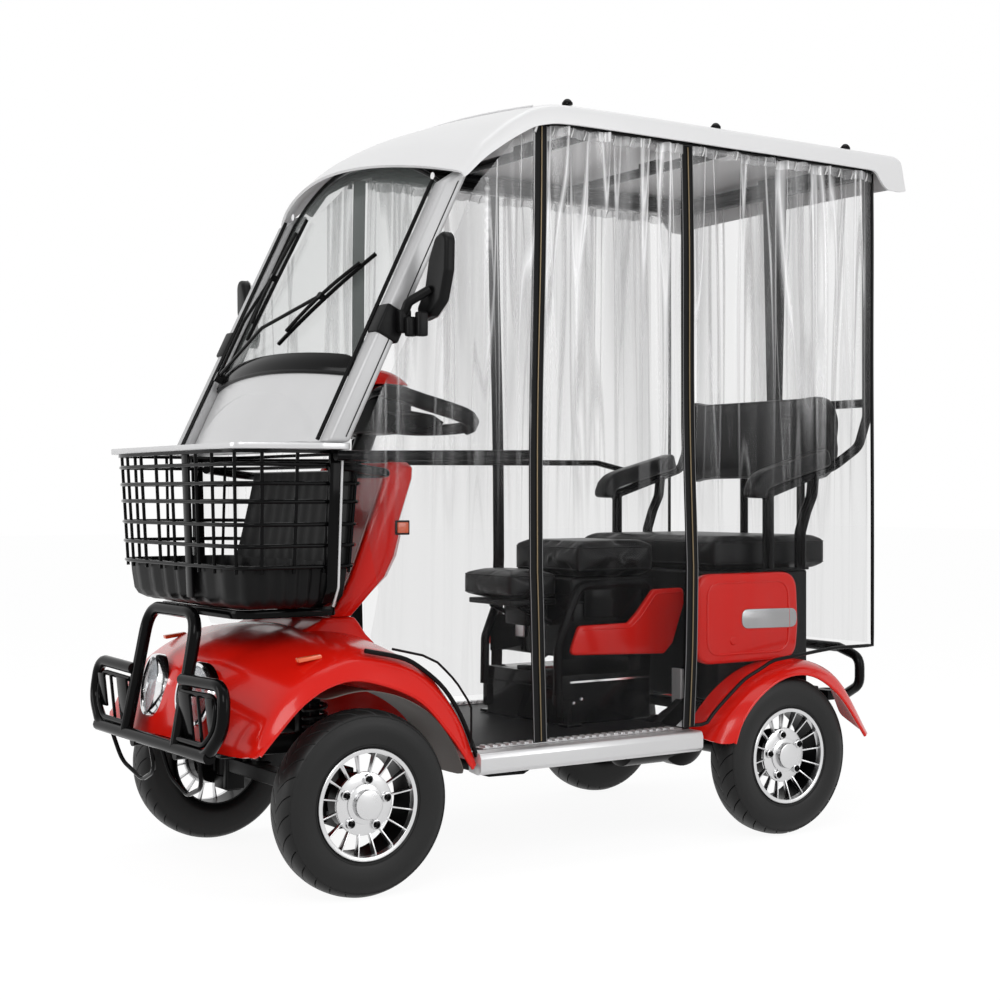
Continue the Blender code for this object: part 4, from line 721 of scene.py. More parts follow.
# Roof and screen
# side edge y, z; centre y, z; depth of the side band under the edge
ROOF_STATIONS = ((-0.387, 1.484, -0.468, 1.540, 0.010), (-0.335, 1.552, -0.400, 1.592, 0.028),
                 (-0.271, 1.604, -0.326, 1.630, 0.036), (-0.206, 1.642, -0.236, 1.660, 0.036),
                 (-0.140, 1.658, -0.150, 1.676, 0.037), (0.080, 1.660, 0.080, 1.681, 0.038),
                 (0.450, 1.660, 0.450, 1.681, 0.038), (0.700, 1.660, 0.700, 1.680, 0.038),
                 (0.812, 1.660, 0.812, 1.679, 0.039), (0.826, 1.660, 0.826, 1.679, 0.044),
                 (0.848, 1.660, 0.850, 1.678, 0.072), (0.866, 1.660, 0.869, 1.676, 0.083),
                 (0.892, 1.660, 0.898, 1.671, 0.083), (0.903, 1.657, 0.911, 1.668, 0.081),
                 (0.915, 1.651, 0.920, 1.661, 0.074), (0.919, 1.640, 0.923, 1.648, 0.062),
                 (0.929, 1.584, 0.930, 1.588, 0.004))


def roof_station(t):
    """Station values at a share of the way from the brow to the rear lip."""
    place = t * (len(ROOF_STATIONS) - 1)
    i = min(int(place), len(ROOF_STATIONS) - 2)
    k = place - i
    return [a + (b - a) * k for a, b in zip(ROOF_STATIONS[i], ROOF_STATIONS[i + 1])]


def roof_point(u, t, lift=0.0):
    """A point on the roof: u from -1 to 1 across, t from brow to rear lip."""
    side_y, side_z, mid_y, mid_z, _ = roof_station(t)
    fall = u * u
    drop = 0.006 * max(0.0, (abs(u) - 0.97) / 0.03) ** 2
    return Vector((u * (ROOF_HALF_W - 0.001), mid_y + (side_y - mid_y) * fall,
                   mid_z + (side_z - mid_z) * fall - drop + lift))


def make_roof():
    """The white roof moulding with its turned-down sides, vents and bolts."""
    across = (-1.0, -1.0, -0.985, -0.95, -0.86, -0.66, -0.33, 0.0, 0.33, 0.66, 0.86, 0.95, 0.985, 1.0, 1.0)
    spans = len(across) - 1

    def place(u, v):
        column = round(u * spans)
        point = roof_point(across[column], v)
        if column in (0, spans):
            side = -1 if column == 0 else 1
            band = roof_station(v)[4]
            point = Vector((side * ROOF_HALF_W, point.y, point.z - band))
        return point

    shell = skin(place, spans, 2 * (len(ROOF_STATIONS) - 1), smooth=2)
    walled(shell, 0.006, -1.0)
    in_edit(shell, outward)
    settled(shell, "roof_moulding", "roof_white", nodes=["roof_shell"], angle=50)
    brow = [roof_point(-0.955 + 1.91 * k / 40, 3.15 / (len(ROOF_STATIONS) - 1), 0.0010) for k in range(41)]
    settled(tube(brow, 0.0022, resolution=1), "roof_crease", "roof_white")
    first = 3.4 / (len(ROOF_STATIONS) - 1)
    for k in range(7):
        low, high = -0.78 + 0.085 * k, -0.78 + 0.085 * k + 0.052
        rows = [(low + 0.030, first), (high + 0.030, first), (high, first + 0.062), (low, first + 0.062)]
        face = [roof_point(u, t, 0.0024) for u, t in rows]
        settled(loft([face, [p - Vector((0, 0, 0.004)) for p in face]]), f"roof_vent_{k}", "black_mould")
    for name, side in SIDES:
        for k, y in enumerate((-0.107, 0.318, 0.737)):
            bolt = turned([(0.0, 0.0125), (0.0050, 0.0120), (0.0085, 0.0090), (0.0105, 0.0060), (0.0120, 0.0040),
                           (0.0120, 0.0), (0.0, 0.0)], (side * 0.400, y, 1.6610), 1, "z", 20)
            settled(bolt, f"roof_bolt_{name}_{k}", "black_gloss")


def make_screen():
    """The curved glass with its rubber edge, the black cowl, the silver panel and the pillars."""
    def glass_place(u, v):
        x = SCREEN_HALF_W * (2 * u - 1)
        arc_z = 1.545 - 0.072 * (x / SCREEN_HALF_W) ** 2
        return screen_point(x, SCREEN_LOW_Z + 0.002 + (arc_z - SCREEN_LOW_Z - 0.004) * v)

    settled(skin(glass_place, 28, 24, 0.0035), "screen_glass", "screen", nodes=["windscreen"])
    edge = [glass_place(k / 20, 0) for k in range(21)] + [glass_place(1, k / 12) for k in range(1, 13)]
    edge += [glass_place(1 - k / 20, 1) for k in range(1, 21)] + [glass_place(0, 1 - k / 12) for k in range(1, 12)]
    settled(tube(edge, 0.0055, closed=True, resolution=2), "screen_rubber", "black_satin")

    def cowl_place(u, v):
        x = (SCREEN_HALF_W - 0.006) * (2 * u - 1)
        tall = 0.030 * (1 - abs(2 * u - 1) ** 24) + 0.009
        return screen_point(x, SCREEN_LOW_Z + 0.001 + tall * v, 0.0045 + 0.004 * math.sin(math.pi * v))

    settled(skin(cowl_place, 28, 5, 0.003), "screen_cowl", "black_gloss")

    def panel_place(u, v):
        x = (SCREEN_HALF_W - 0.001) * (2 * u - 1)
        low = 0.9222 - 0.0222 * (1 - (x / SCREEN_HALF_W) ** 2)
        z = low + (SCREEN_LOW_Z - 0.002 - low) * v
        inside = 1.0 - ((2 * u - 1) / 0.84) ** 2 - ((v - 0.02) / 0.74) ** 2
        rise = 0.0030 * min(1.0, max(0.0, inside * 9.0))
        return screen_point(x, z, rise - 0.001)

    settled(skin(panel_place, 72, 40, 0.007, smooth=0), "screen_panel", "silver", nodes=["lower_panel"])
    for name, side in SIDES:
        pillar = [(pillar_y(0.9185) - 0.026, 0.9185), (pillar_y(0.9185) + 0.026, 0.9185),
                  (PILLAR_TOP[0] + 0.027, PILLAR_TOP[1]), (PILLAR_TOP[0] + 0.008, PILLAR_TOP[1]),
                  (PILLAR_TOP[0] - 0.038, PILLAR_TOP[1] - 0.030)]
        ends = sorted((side * (PILLAR_X - 0.022), side * (PILLAR_X + 0.022)))
        # The pillars take the darker copy of silver: painted shade.
        settled(plate(pillar, "x", ends[0], ends[1], 0.009, 4), f"pillar_tube_{name}", "pillar_shaded_silver",
                nodes=[f"pillar_{name}"])
        seal = [Vector((side * (PILLAR_X - 0.0235), pillar_y(z) - 0.028, z)) for z in (0.925, 1.100, 1.300, 1.475)]
        settled(tube(seal, 0.0045, resolution=2), f"pillar_seal_{name}", "black_satin")
        # Painted shade: a thin black line on the pillar's side stands in for the shade in its groove.
        groove_shade = [Vector((side * (PILLAR_X + 0.0224), pillar_y(z) + 0.010, z)) for z in (0.930, 1.200, 1.470)]
        settled(tube(groove_shade, 0.0012, resolution=1), f"pillar_groove_shade_{name}", "black_satin")
        screw = turned([(0.0, 0.004), (0.006, 0.003), (0.008, 0.0), (0.0, 0.0)],
                       screen_point(side * 0.318, 1.478, 0.016), 1, "y", 16)
        settled(screw, f"brow_screw_{name}", "bright")


# Front
FRONT_SECTIONS = (
    (0.000, (-0.862, 0.300), (-0.858, 0.390), (-0.806, 0.474), (-0.700, 0.512), (-0.600, 0.528),
     (-0.480, 0.505), (-0.390, 0.400), (-0.331, 0.262)),
    (0.110, (-0.860, 0.298), (-0.847, 0.388), (-0.798, 0.470), (-0.700, 0.509), (-0.600, 0.525),
     (-0.478, 0.502), (-0.388, 0.398), (-0.331, 0.262)),
    (0.190, (-0.856, 0.296), (-0.836, 0.380), (-0.786, 0.458), (-0.700, 0.500), (-0.600, 0.517),
     (-0.468, 0.488), (-0.382, 0.388), (-0.331, 0.260)),
    (0.265, (-0.850, 0.294), (-0.828, 0.372), (-0.775, 0.446), (-0.695, 0.491), (-0.600, 0.508),
     (-0.460, 0.472), (-0.374, 0.374), (-0.331, 0.256)),
    (0.335, (-0.846, 0.296), (-0.824, 0.362), (-0.768, 0.433), (-0.690, 0.480), (-0.600, 0.498),
     (-0.455, 0.458), (-0.367, 0.362), (-0.331, 0.250)),
    (0.378, (-0.842, 0.300), (-0.816, 0.356), (-0.758, 0.420), (-0.686, 0.460), (-0.602, 0.473),
     (-0.470, 0.434), (-0.380, 0.345), (-0.333, 0.246)),
    (0.392, (-0.838, 0.308), (-0.800, 0.349), (-0.745, 0.402), (-0.680, 0.436), (-0.604, 0.441),
     (-0.482, 0.396), (-0.402, 0.316), (-0.346, 0.240)),
)


def between_sections(sections, half, count):
    """A smooth row of skin points at one half width, between the listed sections."""
    for (h0, *line0), (h1, *line1) in zip(sections, sections[1:]):
        if half <= h1 + 1e-9:
            k = (half - h0) / (h1 - h0)
            return through([(half, a[0] + (b[0] - a[0]) * k, a[1] + (b[1] - a[1]) * k)
                            for a, b in zip(line0, line1)], count)
    return through([(half, y, z) for y, z in sections[-1][1:]], count)


def make_front_body():
    """The red bonnet and mudguards as one skin with its raised arch line, and the neck under the column."""
    count = 41
    halves = [0.0, 0.040, 0.075, 0.110, 0.150, 0.190, 0.230, 0.265, 0.300, 0.335, 0.356, 0.368, 0.378, 0.386, 0.392]
    columns = [-h for h in reversed(halves)] + halves[1:]
    rows = {h: between_sections(FRONT_SECTIONS, h, count) for h in halves}

    def place(u, v):
        half = columns[round(u * (len(columns) - 1))]
        j = round(v * (count - 1))
        point = rows[abs(half)][j].copy()
        if half < 0:
            point.x = -point.x
        if 0.35 < abs(half) < 0.372:
            point.z += 0.0025
        if abs(half) < 0.12 and j < 18:
            point.y += 0.006 * math.cos(math.pi * half / 0.24)
        return point

    shell = skin(place, len(columns) - 1, count - 1, smooth=1)
    walled(shell, 0.0045, 1.0)
    in_edit(shell, outward)
    settled(shell, "bonnet", "red_gloss", nodes=["front_body"], angle=60)
    # height, half width, front and rear y of the neck
    levels = ((0.490, 0.176, -0.700, -0.455), (0.512, 0.166, -0.655, -0.474), (0.535, 0.158, -0.602, -0.486),
              (0.5495, 0.150, -0.570, -0.494))
    rings = [[Vector((x, y, z)) for x, y in ((-h, f), (-h * 0.5, f), (h * 0.5, f), (h, f), (h, (f + r) / 2),
                                             (h, r), (-h, r), (-h, (f + r) / 2))] for z, h, f, r in levels]
    settled(bevelled(loft(rings), 0.006, 3, 40), "bonnet_neck", "red_gloss", angle=40)
    for name, side in SIDES:
        lip = [Vector((side * x, y, z)) for x, y, z in (p for p in between_sections(FRONT_SECTIONS, 0.392, 33))]
        settled(tube(lip, 0.0042, resolution=2), f"arch_lip_{name}", "red_gloss")
        piping = [(0.372, -0.594, 0.498), (0.372, -0.505, 0.478), (0.372, -0.457, 0.452), (0.372, -0.408, 0.412),
                  (0.372, -0.371, 0.362), (0.374, -0.346, 0.310), (0.378, -0.328, 0.262)]
        piping = through([(side * x, y, z) for x, y, z in piping], 24)
        settled(tube(piping, 0.0050, resolution=2), f"arch_piping_{name}", "black_satin")
        liner_rows = [through([(side * x, y, z) for y, z in ((-0.690, 0.405), (-0.605, 0.418), (-0.510, 0.396),
                                                            (-0.430, 0.345), (-0.385, 0.280), (-0.362, 0.225))], 17)
                      for x in (0.386, 0.330, 0.240)]
        liner = skin(lambda u, v: liner_rows[round(u * 2)][round(v * 16)], 2, 16, 0.002, smooth=1)
        settled(liner, f"arch_liner_{name}", "liner")
        mark = plate(rounded([(-0.728, 0.4785), (-0.676, 0.4845), (-0.678, 0.4930), (-0.730, 0.4870)], 0.004, 4), "x",
                     side * 0.329, side * 0.3445, 0.0015, 2)
        settled(mark, f"indicator_{name}", "orange")


def make_headlights():
    """Round lamps with a bright bezel, a bulb ring and a clear lens."""
    for name, side in SIDES:
        face = (Matrix.Translation((side * 0.113, -0.8475, 0.400)) @ Matrix.Rotation(side * math.radians(8), 4, "Z")
                @ Matrix.Rotation(math.radians(80), 4, "X"))
        bezel = turned([(0.0560, 0.0040), (0.0600, 0.0110), (0.0660, 0.0100), (0.0690, 0.0030), (0.0690, -0.0120),
                        (0.0580, -0.0120)], (0, 0, 0), 1, "z", 48, True)
        bezel.data.transform(face)
        settled(bezel, f"lamp_bezel_{name}", "bright")
        bowl = turned([(0.0, -0.0090), (0.0160, -0.0080), (0.0220, 0.0020), (0.0245, -0.0070), (0.0440, -0.0040),
                       (0.0575, 0.0030), (0.0575, -0.0115), (0.0, -0.0115)], (0, 0, 0), 1, "z", 48)
        bowl.data.transform(face)
        settled(bowl, f"lamp_bowl_{name}", "bright")
        lens = turned([(0.0, 0.0140), (0.0250, 0.0130), (0.0450, 0.0100), (0.0575, 0.0050), (0.0575, 0.0040),
                       (0.0450, 0.0085), (0.0250, 0.0115), (0.0, 0.0125)], (0, 0, 0), 1, "z", 48)
        lens.data.transform(face)
        settled(lens, f"lamp_lens_{name}", "lens", nodes=[f"headlight_{name}"])


def make_bull_bar():
    """The tube bumper: bottom tube, hoop, side loops with inner bars, and the wire loops under it."""
    radius = 0.0138
    low_z, front_y = 0.298, -0.902
    tubes = [tube([(-0.300, front_y, low_z), (0.300, front_y, low_z)], radius, resolution=4)]
    hoop = [(0.136, front_y, low_z), (0.128, -0.850, 0.570), (-0.128, -0.850, 0.570), (-0.136, front_y, low_z)]
    tubes.append(tube(hoop, radius, 0.060, resolution=4, steps=10))
    for _, side in SIDES:
        loop = [(side * x, y, z) for x, y, z in ((0.132, -0.886, 0.436), (0.335, -0.886, 0.440), (0.345, -0.894, 0.355),
                                                 (0.285, front_y, low_z), (0.150, front_y, low_z))]
        tubes.append(tube(loop, radius * 0.94, 0.062, resolution=4, steps=8))
        inner = [(side * x, y, z) for x, y, z in ((0.140, -0.890, 0.412), (0.308, -0.890, 0.416), (0.314, -0.898, 0.352),
                                                  (0.270, front_y, 0.318), (0.150, front_y, 0.318))]
        tubes.append(tube(inner, 0.0062, 0.045, resolution=3))
        for low, high, bottom in ((0.142, 0.197, 0.318), (0.231, 0.239, 0.318), (0.274, 0.308, 0.340)):
            ends = sorted((side * low, side * high))
            panel = slab((ends[0], -0.8965, bottom), (ends[1], -0.8905, 0.414), 0.002)
            panel.data.transform(Matrix.Translation((0, -0.893, 0.366)) @ Matrix.Rotation(math.radians(6), 4, "X")
                                 @ Matrix.Translation((0, 0.893, -0.366)))
            tubes.append(panel)
        tubes.append(tube([(side * 0.115, front_y + 0.005, 0.2815), (side * 0.115, -0.8030, 0.2815)], 0.012))
        wire = [(side * 0.235, -0.896, 0.290), (side * 0.215, -0.880, 0.225), (side * 0.120, -0.870, 0.195),
                (side * 0.040, -0.875, 0.225), (side * 0.030, -0.890, 0.288)]
        tubes.append(tube(wire, 0.0048, 0.05, resolution=2))
    settled(joined(tubes), "bumper_tubes", "black_gloss", nodes=["bull_bar"])


def basket_outline(turn, z, shrink=0.0):
    """A point on the basket's rounded outline at one height."""
    share = (z - 0.578) / (0.9047 - 0.578)
    half = 0.3138 + 0.0196 * share - shrink
    front, rear = -0.8484 - 0.0155 * share + shrink, -0.572 + 0.022 * share - shrink
    middle, depth = (front + rear) / 2, (rear - front) / 2
    c, s = math.cos(turn), math.sin(turn)
    reach = 1.0 / (abs(c) ** 7 + abs(s) ** 7) ** (1 / 7)
    return Vector((half * c * reach, middle + depth * s * reach, z))


def basket_turn(along, across):
    """The turn at which the basket's outline passes a share of its half width, in front (-1) or behind (1)."""
    return math.atan2(across * (1 - abs(along) ** 7) ** (1 / 7), along)


def make_basket():
    """The moulded basket: round bars, a ribbed pan, a closed rear wall, a rim and the bars that hold the tray."""
    wires = []
    for z in (0.8750, 0.8370, 0.8000, 0.7540, 0.7110, 0.6680):
        ring = [basket_outline(2 * math.pi * i / 72, z, -0.001) for i in range(72)]
        wires.append(tube(ring, 0.0043, closed=True, resolution=2))
    turns = []
    for along in (-0.93, -0.70, -0.45, -0.20, 0.05, 0.43, 0.66, 0.90):
        turns.append(basket_turn(along, -1))
    for share in (-0.62, -0.12, 0.36, 0.80):
        for side in (1, -1):
            turns.append(math.atan2(share, side * (1 - abs(share) ** 7) ** (1 / 7)))
    for turn in turns:
        line = [basket_outline(turn, z, 0.0010) for z in (0.902, 0.80, 0.70, 0.655)]
        wires.append(tube(line, 0.0037, resolution=2))
    settled(joined(wires), "basket_wires", "black_gloss", nodes=["basket"], angle=60)
    flat = [basket_outline(basket_turn(0.27, -1), z, 0.002) for z in (0.900, 0.80, 0.70, 0.600)]
    settled(strip(flat, 0.030, 0.006, up=(0, -1, 0.1), bevel=0.001), "basket_stay", "black_gloss")
    rim = [basket_outline(2 * math.pi * i / 96, 0.9010, -0.002) for i in range(96)]
    settled(strip(rim, 0.006, 0.007, closed=True), "basket_rim", "black_gloss", angle=50)
    bail = [(0.300, -0.640, 0.872), (0.332, -0.620, 0.872), (0.332, -0.510, 0.858), (-0.332, -0.510, 0.858),
            (-0.332, -0.620, 0.872), (-0.300, -0.640, 0.872)]
    settled(tube(bail, 0.0095, 0.035, resolution=4), "basket_bail", "black_gloss")

    levels = ((0.672, 0.007), (0.640, 0.008), (0.605, 0.011), (0.592, 0.018), (0.5835, 0.034))
    rings = [[basket_outline(2 * math.pi * i / 120, z, s + (0.006 if i % 4 < 2 else 0.0)) for i in range(120)]
             for z, s in levels]
    for share in (0.75, 0.40, 0.0):
        rings.append([Vector((p.x * share, -0.69 + (p.y + 0.69) * share, 0.5825)) for p in rings[4]])
    pan = loft(rings, caps=False)
    in_edit(pan, merged, outward)
    walled(pan, 0.0018)
    settled(pan, "basket_pan", "black_mould", angle=50)

    def rear_place(u, v):
        start, end = basket_turn(-0.86 + 0.22 * v, 1), basket_turn(0.985, 1)
        point = basket_outline(start + (end - start) * u, 0.662 + 0.201 * v, 0.007)
        point.y += 0.0012 * (math.sin(u * 75) > 0)
        return point

    settled(skin(rear_place, 72, 4, 0.002), "basket_back", "black_mould")
    for name, side in SIDES:
        bar = [(side * 0.3450, -0.645, 0.9045), (side * 0.3370, -0.645, 0.780), (side * 0.3270, -0.645, 0.625),
               (side * 0.3080, -0.645, 0.594)]
        foot = strip([(side * 0.3080, -0.645, 0.5800), (side * 0.1950, -0.645, 0.5760)], 0.024, 0.010, bevel=0.001)
        parts = [strip(bar, 0.028, 0.006, up=(side, 0, 0.05), bend=0.02, bevel=0.001), foot,
                 tube([(side * 0.3485, -0.6325, 0.9035), (side * 0.3405, -0.6325, 0.780), (side * 0.3305, -0.6325, 0.625),
                       (side * 0.3080, -0.6325, 0.586)], 0.0028, 0.02)]
        settled(joined(parts[:2]), f"tray_bar_{name}", "black_gloss")
        settled(parts[2], f"tray_bar_edge_{name}", "silver")


def make_leg_shield():
    """The red column cover: recessed front face between two raised side bands, with its reflectors."""
    # height, half width, forward reach of the bands, rear reach
    levels = ((0.5505, 0.150, 0.012, 0.045), (0.600, 0.166, 0.010, 0.072), (0.635, 0.171, 0.008, 0.096),
              (0.680, 0.173, 0.008, 0.102), (0.722, 0.174, 0.008, 0.096), (0.755, 0.174, 0.008, 0.080),
              (0.850, 0.173, 0.008, 0.076), (0.874, 0.168, 0.004, 0.070), (0.886, 0.154, 0.000, 0.056))
    rings = []
    for z, half, ahead, behind in levels:
        ring = [column_point(z, forward, x) for x, forward in
                ((-half, ahead - 0.016), (-half + 0.010, ahead), (-half * 0.83, ahead - 0.001),
                 (-half * 0.79, ahead - 0.006), (-half * 0.76, ahead - 0.022), (0.0, ahead - 0.024),
                 (half * 0.76, ahead - 0.022), (half * 0.79, ahead - 0.006), (half * 0.83, ahead - 0.001),
                 (half - 0.010, ahead), (half, ahead - 0.016), (half, -behind * 0.40), (half * 0.97, -behind * 0.75),
                 (half * 0.80, -behind), (0.0, -behind - 0.004), (-half * 0.80, -behind),
                 (-half * 0.97, -behind * 0.75), (-half, -behind * 0.40))]
        rings.append(ring)
    shield = bevelled(loft(rings), 0.004, 3, 38)
    settled(shield, "column_cover", "red_gloss", nodes=["leg_shield"], angle=45)
    for name, side in SIDES:
        spot = column_point(0.742, -0.074, side * 0.1720)
        mark = slab((spot.x - 0.003, spot.y - 0.014, spot.z - 0.012),
                    (spot.x + 0.004, spot.y + 0.014, spot.z + 0.012), 0.002)
        settled(mark, f"side_reflector_{name}", "orange")
        back = slab((spot.x - 0.003, spot.y - 0.018, spot.z - 0.016),
                    (spot.x + 0.0015, spot.y + 0.018, spot.z + 0.016), 0.002)
        settled(back, f"side_reflector_base_{name}", "black_mould")


def make_handlebar():
    """The console, its dial, the red cap and the closed-loop grips, all on the steering stem."""
    pod = column_point(1.000)
    body = "steering_bar"
    stem = tube([column_point(COLUMN_TOP_Z + 0.010), column_point(0.985)], 0.022, resolution=6)
    settled(stem, "steering_stem", "black_satin", body)
    console = slab((-0.100, pod.y - 0.055, 0.950), (0.100, pod.y + 0.040, 1.060), 0.0)
    in_edit(console, everything, lambda: bpy.ops.mesh.subdivide(number_cuts=3))
    for vert in console.data.vertices:
        x, y, z = vert.co
        high = (z - 0.950) / 0.110
        vert.co.x = x * (0.82 + 0.18 * math.sin(math.pi * min(1.0, high * 1.1)) ** 0.5) if high > 0 else x * 0.80
        vert.co.y = y + 0.012 * high
    bevelled(console, 0.012, 3, 60)
    smoothed(console, 1)
    settled(console, "console_case", "black_mould", body, ["handlebar"], 50)
    loops = []
    grips = []
    for _, side in SIDES:
        upper = [(side * x, pod.y + y, z) for x, y, z in ((0.040, -0.034, 1.030), (0.100, -0.046, 1.042),
                                                         (0.160, -0.036, 1.038), (0.225, 0.000, 1.015),
                                                         (0.262, 0.045, 0.996), (0.272, 0.082, 0.981),
                                                         (0.255, 0.095, 0.965), (0.215, 0.070, 0.958),
                                                         (0.150, 0.030, 0.957), (0.090, 0.012, 0.961),
                                                         (0.040, 0.006, 0.965))]
        smooth_line = through(upper, 44)
        loops.append(tube(smooth_line, 0.0125, resolution=4))
        grips.append(tube(smooth_line[7:27], 0.0178, resolution=5))
        guard = [(side * x, pod.y + y, z) for x, y, z in ((0.085, -0.010, 0.972), (0.120, -0.006, 1.006),
                                                         (0.200, 0.030, 0.990), (0.215, 0.052, 0.972),
                                                         (0.160, 0.030, 0.950), (0.100, 0.008, 0.948))]
        guard = [Vector(p) for p in guard]
        ahead = [p + Vector((0, -0.006, 0)) for p in guard]
        behind = [p + Vector((0, 0.008, 0)) for p in guard]
        loops.append(bevelled(loft([ahead, behind]), 0.004, 2, 30))
        lever = through([(side * 0.085, pod.y - 0.030, 1.000), (side * 0.140, pod.y - 0.020, 0.992),
                         (side * 0.190, pod.y + 0.010, 0.985)], 12)
        loops.append(tube(lever, 0.0050, resolution=2))
    settled(joined(loops), "bar_loops", "black_gloss", body)
    settled(joined(grips), "bar_grips", "black_mould", body)
    cap = turned([(0.0, 0.040), (0.030, 0.0385), (0.056, 0.030), (0.076, 0.016), (0.087, 0.004), (0.088, 0.0),
                  (0.0, 0.0)], (0, pod.y - 0.010, 1.0600), 1, "z", 48)
    settled(smoothed(cap, 1), "console_dome", "red_gloss", body, ["console_cap"], 50)
    dial = turned([(0.0, 0.006), (0.030, 0.005), (0.034, 0.0), (0.0, 0.0)], (0, 0, 0), 1, "z", 32)
    dial.data.transform(Matrix.Translation((0.045, pod.y + 0.046, 1.030)) @ Matrix.Rotation(math.radians(-70), 4, "X"))
    settled(dial, "console_dial", "bright", body)


def make_mirrors_and_wipers():
    """Door mirrors with moulded heads, and the two wipers with their arms."""
    for name, side in SIDES:
        clamp_z = 1.165
        y = pillar_y(clamp_z)
        body = []
        clamp = slab((side * 0.3470, y - 0.026, clamp_z - 0.034), (side * 0.3900, y + 0.030, clamp_z + 0.032), 0.005)
        clamp.data.transform(Matrix.Translation((0, y, clamp_z)) @ Matrix.Rotation(math.radians(-26), 4, "X")
                             @ Matrix.Translation((0, -y, -clamp_z)))
        body.append(clamp)
        body.append(slab((side * 0.388, y + 0.006, clamp_z - 0.022), (side * 0.412, y + 0.032, clamp_z + 0.026), 0.005))
        body.append(slab((side * 0.410, y + 0.014, clamp_z - 0.030), (side * 0.428, y + 0.036, clamp_z + 0.010), 0.004))
        body.append(tube([(side * 0.400, y + 0.018, clamp_z + 0.012), (side * 0.414, y + 0.022, clamp_z + 0.040),
                          (side * 0.440, y + 0.058, clamp_z + 0.066)], 0.0100, 0.02))
        body.append(slab((side * 0.424, y + 0.030, clamp_z - 0.030), (side * 0.444, y + 0.052, clamp_z + 0.020), 0.004))
        settled(joined(body), f"mirror_arm_{name}", "black_mould")
        outline = rounded([(-0.079, -0.062), (-0.070, -0.088), (-0.030, -0.080), (0.004, -0.052), (0.022, 0.008),
                           (0.024, 0.074), (0.008, 0.090), (-0.018, 0.078), (-0.040, 0.034), (-0.052, -0.022)], 0.022, 5)
        head = plate([(p[0], p[1]) for p in outline], "z", -0.014, 0.014, 0.009, 4)
        turn = (Matrix.Translation((side * 0.466, y + 0.076, 1.258)) @ Matrix.Rotation(side * math.radians(6), 4, "Z")
                @ Matrix.Rotation(math.radians(90), 4, "X") @ Matrix.Diagonal((side, 1, 1, 1)))
        head.data.transform(turn)
        in_edit(head, outward)
        settled(head, f"mirror_head_{name}", "black_mould", nodes=[f"mirror_{name}"])
        bead = tube([Vector((-0.026 + (p[0] + 0.026) * 1.01, p[1] * 1.005, -0.0085)) for p in outline], 0.0012,
                    closed=True, resolution=1)
        bead.data.transform(turn)
        settled(bead, f"mirror_bead_{name}", "silver")
        pane = plate([(-0.026 + (p[0] + 0.026) * 0.86, p[1] * 0.88) for p in outline], "z", -0.0150, -0.0125)
        pane.data.transform(turn)
        in_edit(pane, outward)
        settled(pane, f"mirror_pane_{name}", "bright")
    foot = (-0.290, 1.075)
    parts = []
    for (x0, z0), (x1, z1) in (((-0.209, 1.154), (-0.169, 1.438)), ((0.021, 1.118), (0.242, 1.311))):
        middle = ((x0 + x1) / 2, (z0 + z1) / 2)
        blade = [screen_point(x0 + (x1 - x0) * t / 8, z0 + (z1 - z0) * t / 8, 0.0075) for t in range(9)]
        parts.append(strip(blade, 0.0065, 0.008, up=(0, -0.9, 0.44), bevel=0.001))
        back = [screen_point(x0 + (x1 - x0) * t / 8, z0 + (z1 - z0) * t / 8, 0.0135 + 0.006 * math.sin(math.pi * t / 8))
                for t in range(1, 8)]
        parts.append(tube(back, 0.0042, resolution=2))
        knee = ((foot[0] * 0.45 + middle[0] * 0.55), (foot[1] * 0.45 + middle[1] * 0.55))
        arm = [screen_point(*foot, 0.020), screen_point(*knee, 0.028), screen_point(*middle, 0.020)]
        parts.append(tube(arm, 0.0042, 0.05, resolution=2))
        parts.append(tube([screen_point(*middle, 0.010), screen_point(*middle, 0.024)], 0.0080, resolution=2))
    parts.append(tube([screen_point(*foot, 0.001), screen_point(*foot, 0.026)], 0.0125))
    settled(joined(parts), "wiper_set", "black_satin", nodes=["wipers"])


# Floor, frame and axles
def make_floor():
    """The floor mat between rounded silver sills, with its toothed edge strips."""
    mat = slab((-0.3497, -0.330, 0.2560), (0.3497, 0.285, 0.2695), 0.003)
    settled(mat, "floor_mat", "mat", nodes=["floor_pan"])
    for name, side in SIDES:
        outline = rounded([(0.3500, 0.2260), (0.3840, 0.2220), (0.3975, 0.2300), (0.3980, 0.2580), (0.3930, 0.2700),
                           (0.3500, 0.2700)], 0.009, 5)
        rail = plate([(side * p[0], p[1]) for p in outline], "y", -0.330, 0.283, 0.0015, 2)
        in_edit(rail, outward)
        settled(rail, f"sill_rail_{name}", "silver", nodes=[f"sill_{name}"], angle=35)
        teeth = []
        for k in range(26):
            y = -0.285 + 0.0205 * k
            teeth.append(slab((side * 0.322, y, 0.2698), (side * 0.3460, y + 0.0120, 0.2765), 0.0012, 1))
        teeth.append(slab((side * 0.318, -0.292, 0.2694), (side * 0.3485, 0.262, 0.2722), 0.0010, 1))
        settled(joined(teeth), f"step_teeth_{name}", "silver")
        hook = [(side * 0.352, -0.290, 0.216), (side * 0.352, -0.200, 0.214), (side * 0.352, -0.185, 0.221)]
        settled(strip(hook, 0.030, 0.006, bevel=0.0012), f"sill_bracket_{name}", "black_gloss")


def coil(x, y, low, high, radius, wire, turns):
    """A coil spring round an upright axis."""
    count = turns * 14
    path = []
    for k in range(count + 1):
        angle = 2 * math.pi * k / 14
        path.append((x + radius * math.cos(angle), y + radius * math.sin(angle), low + (high - low) * k / count))
    return tube(path, wire, resolution=1)


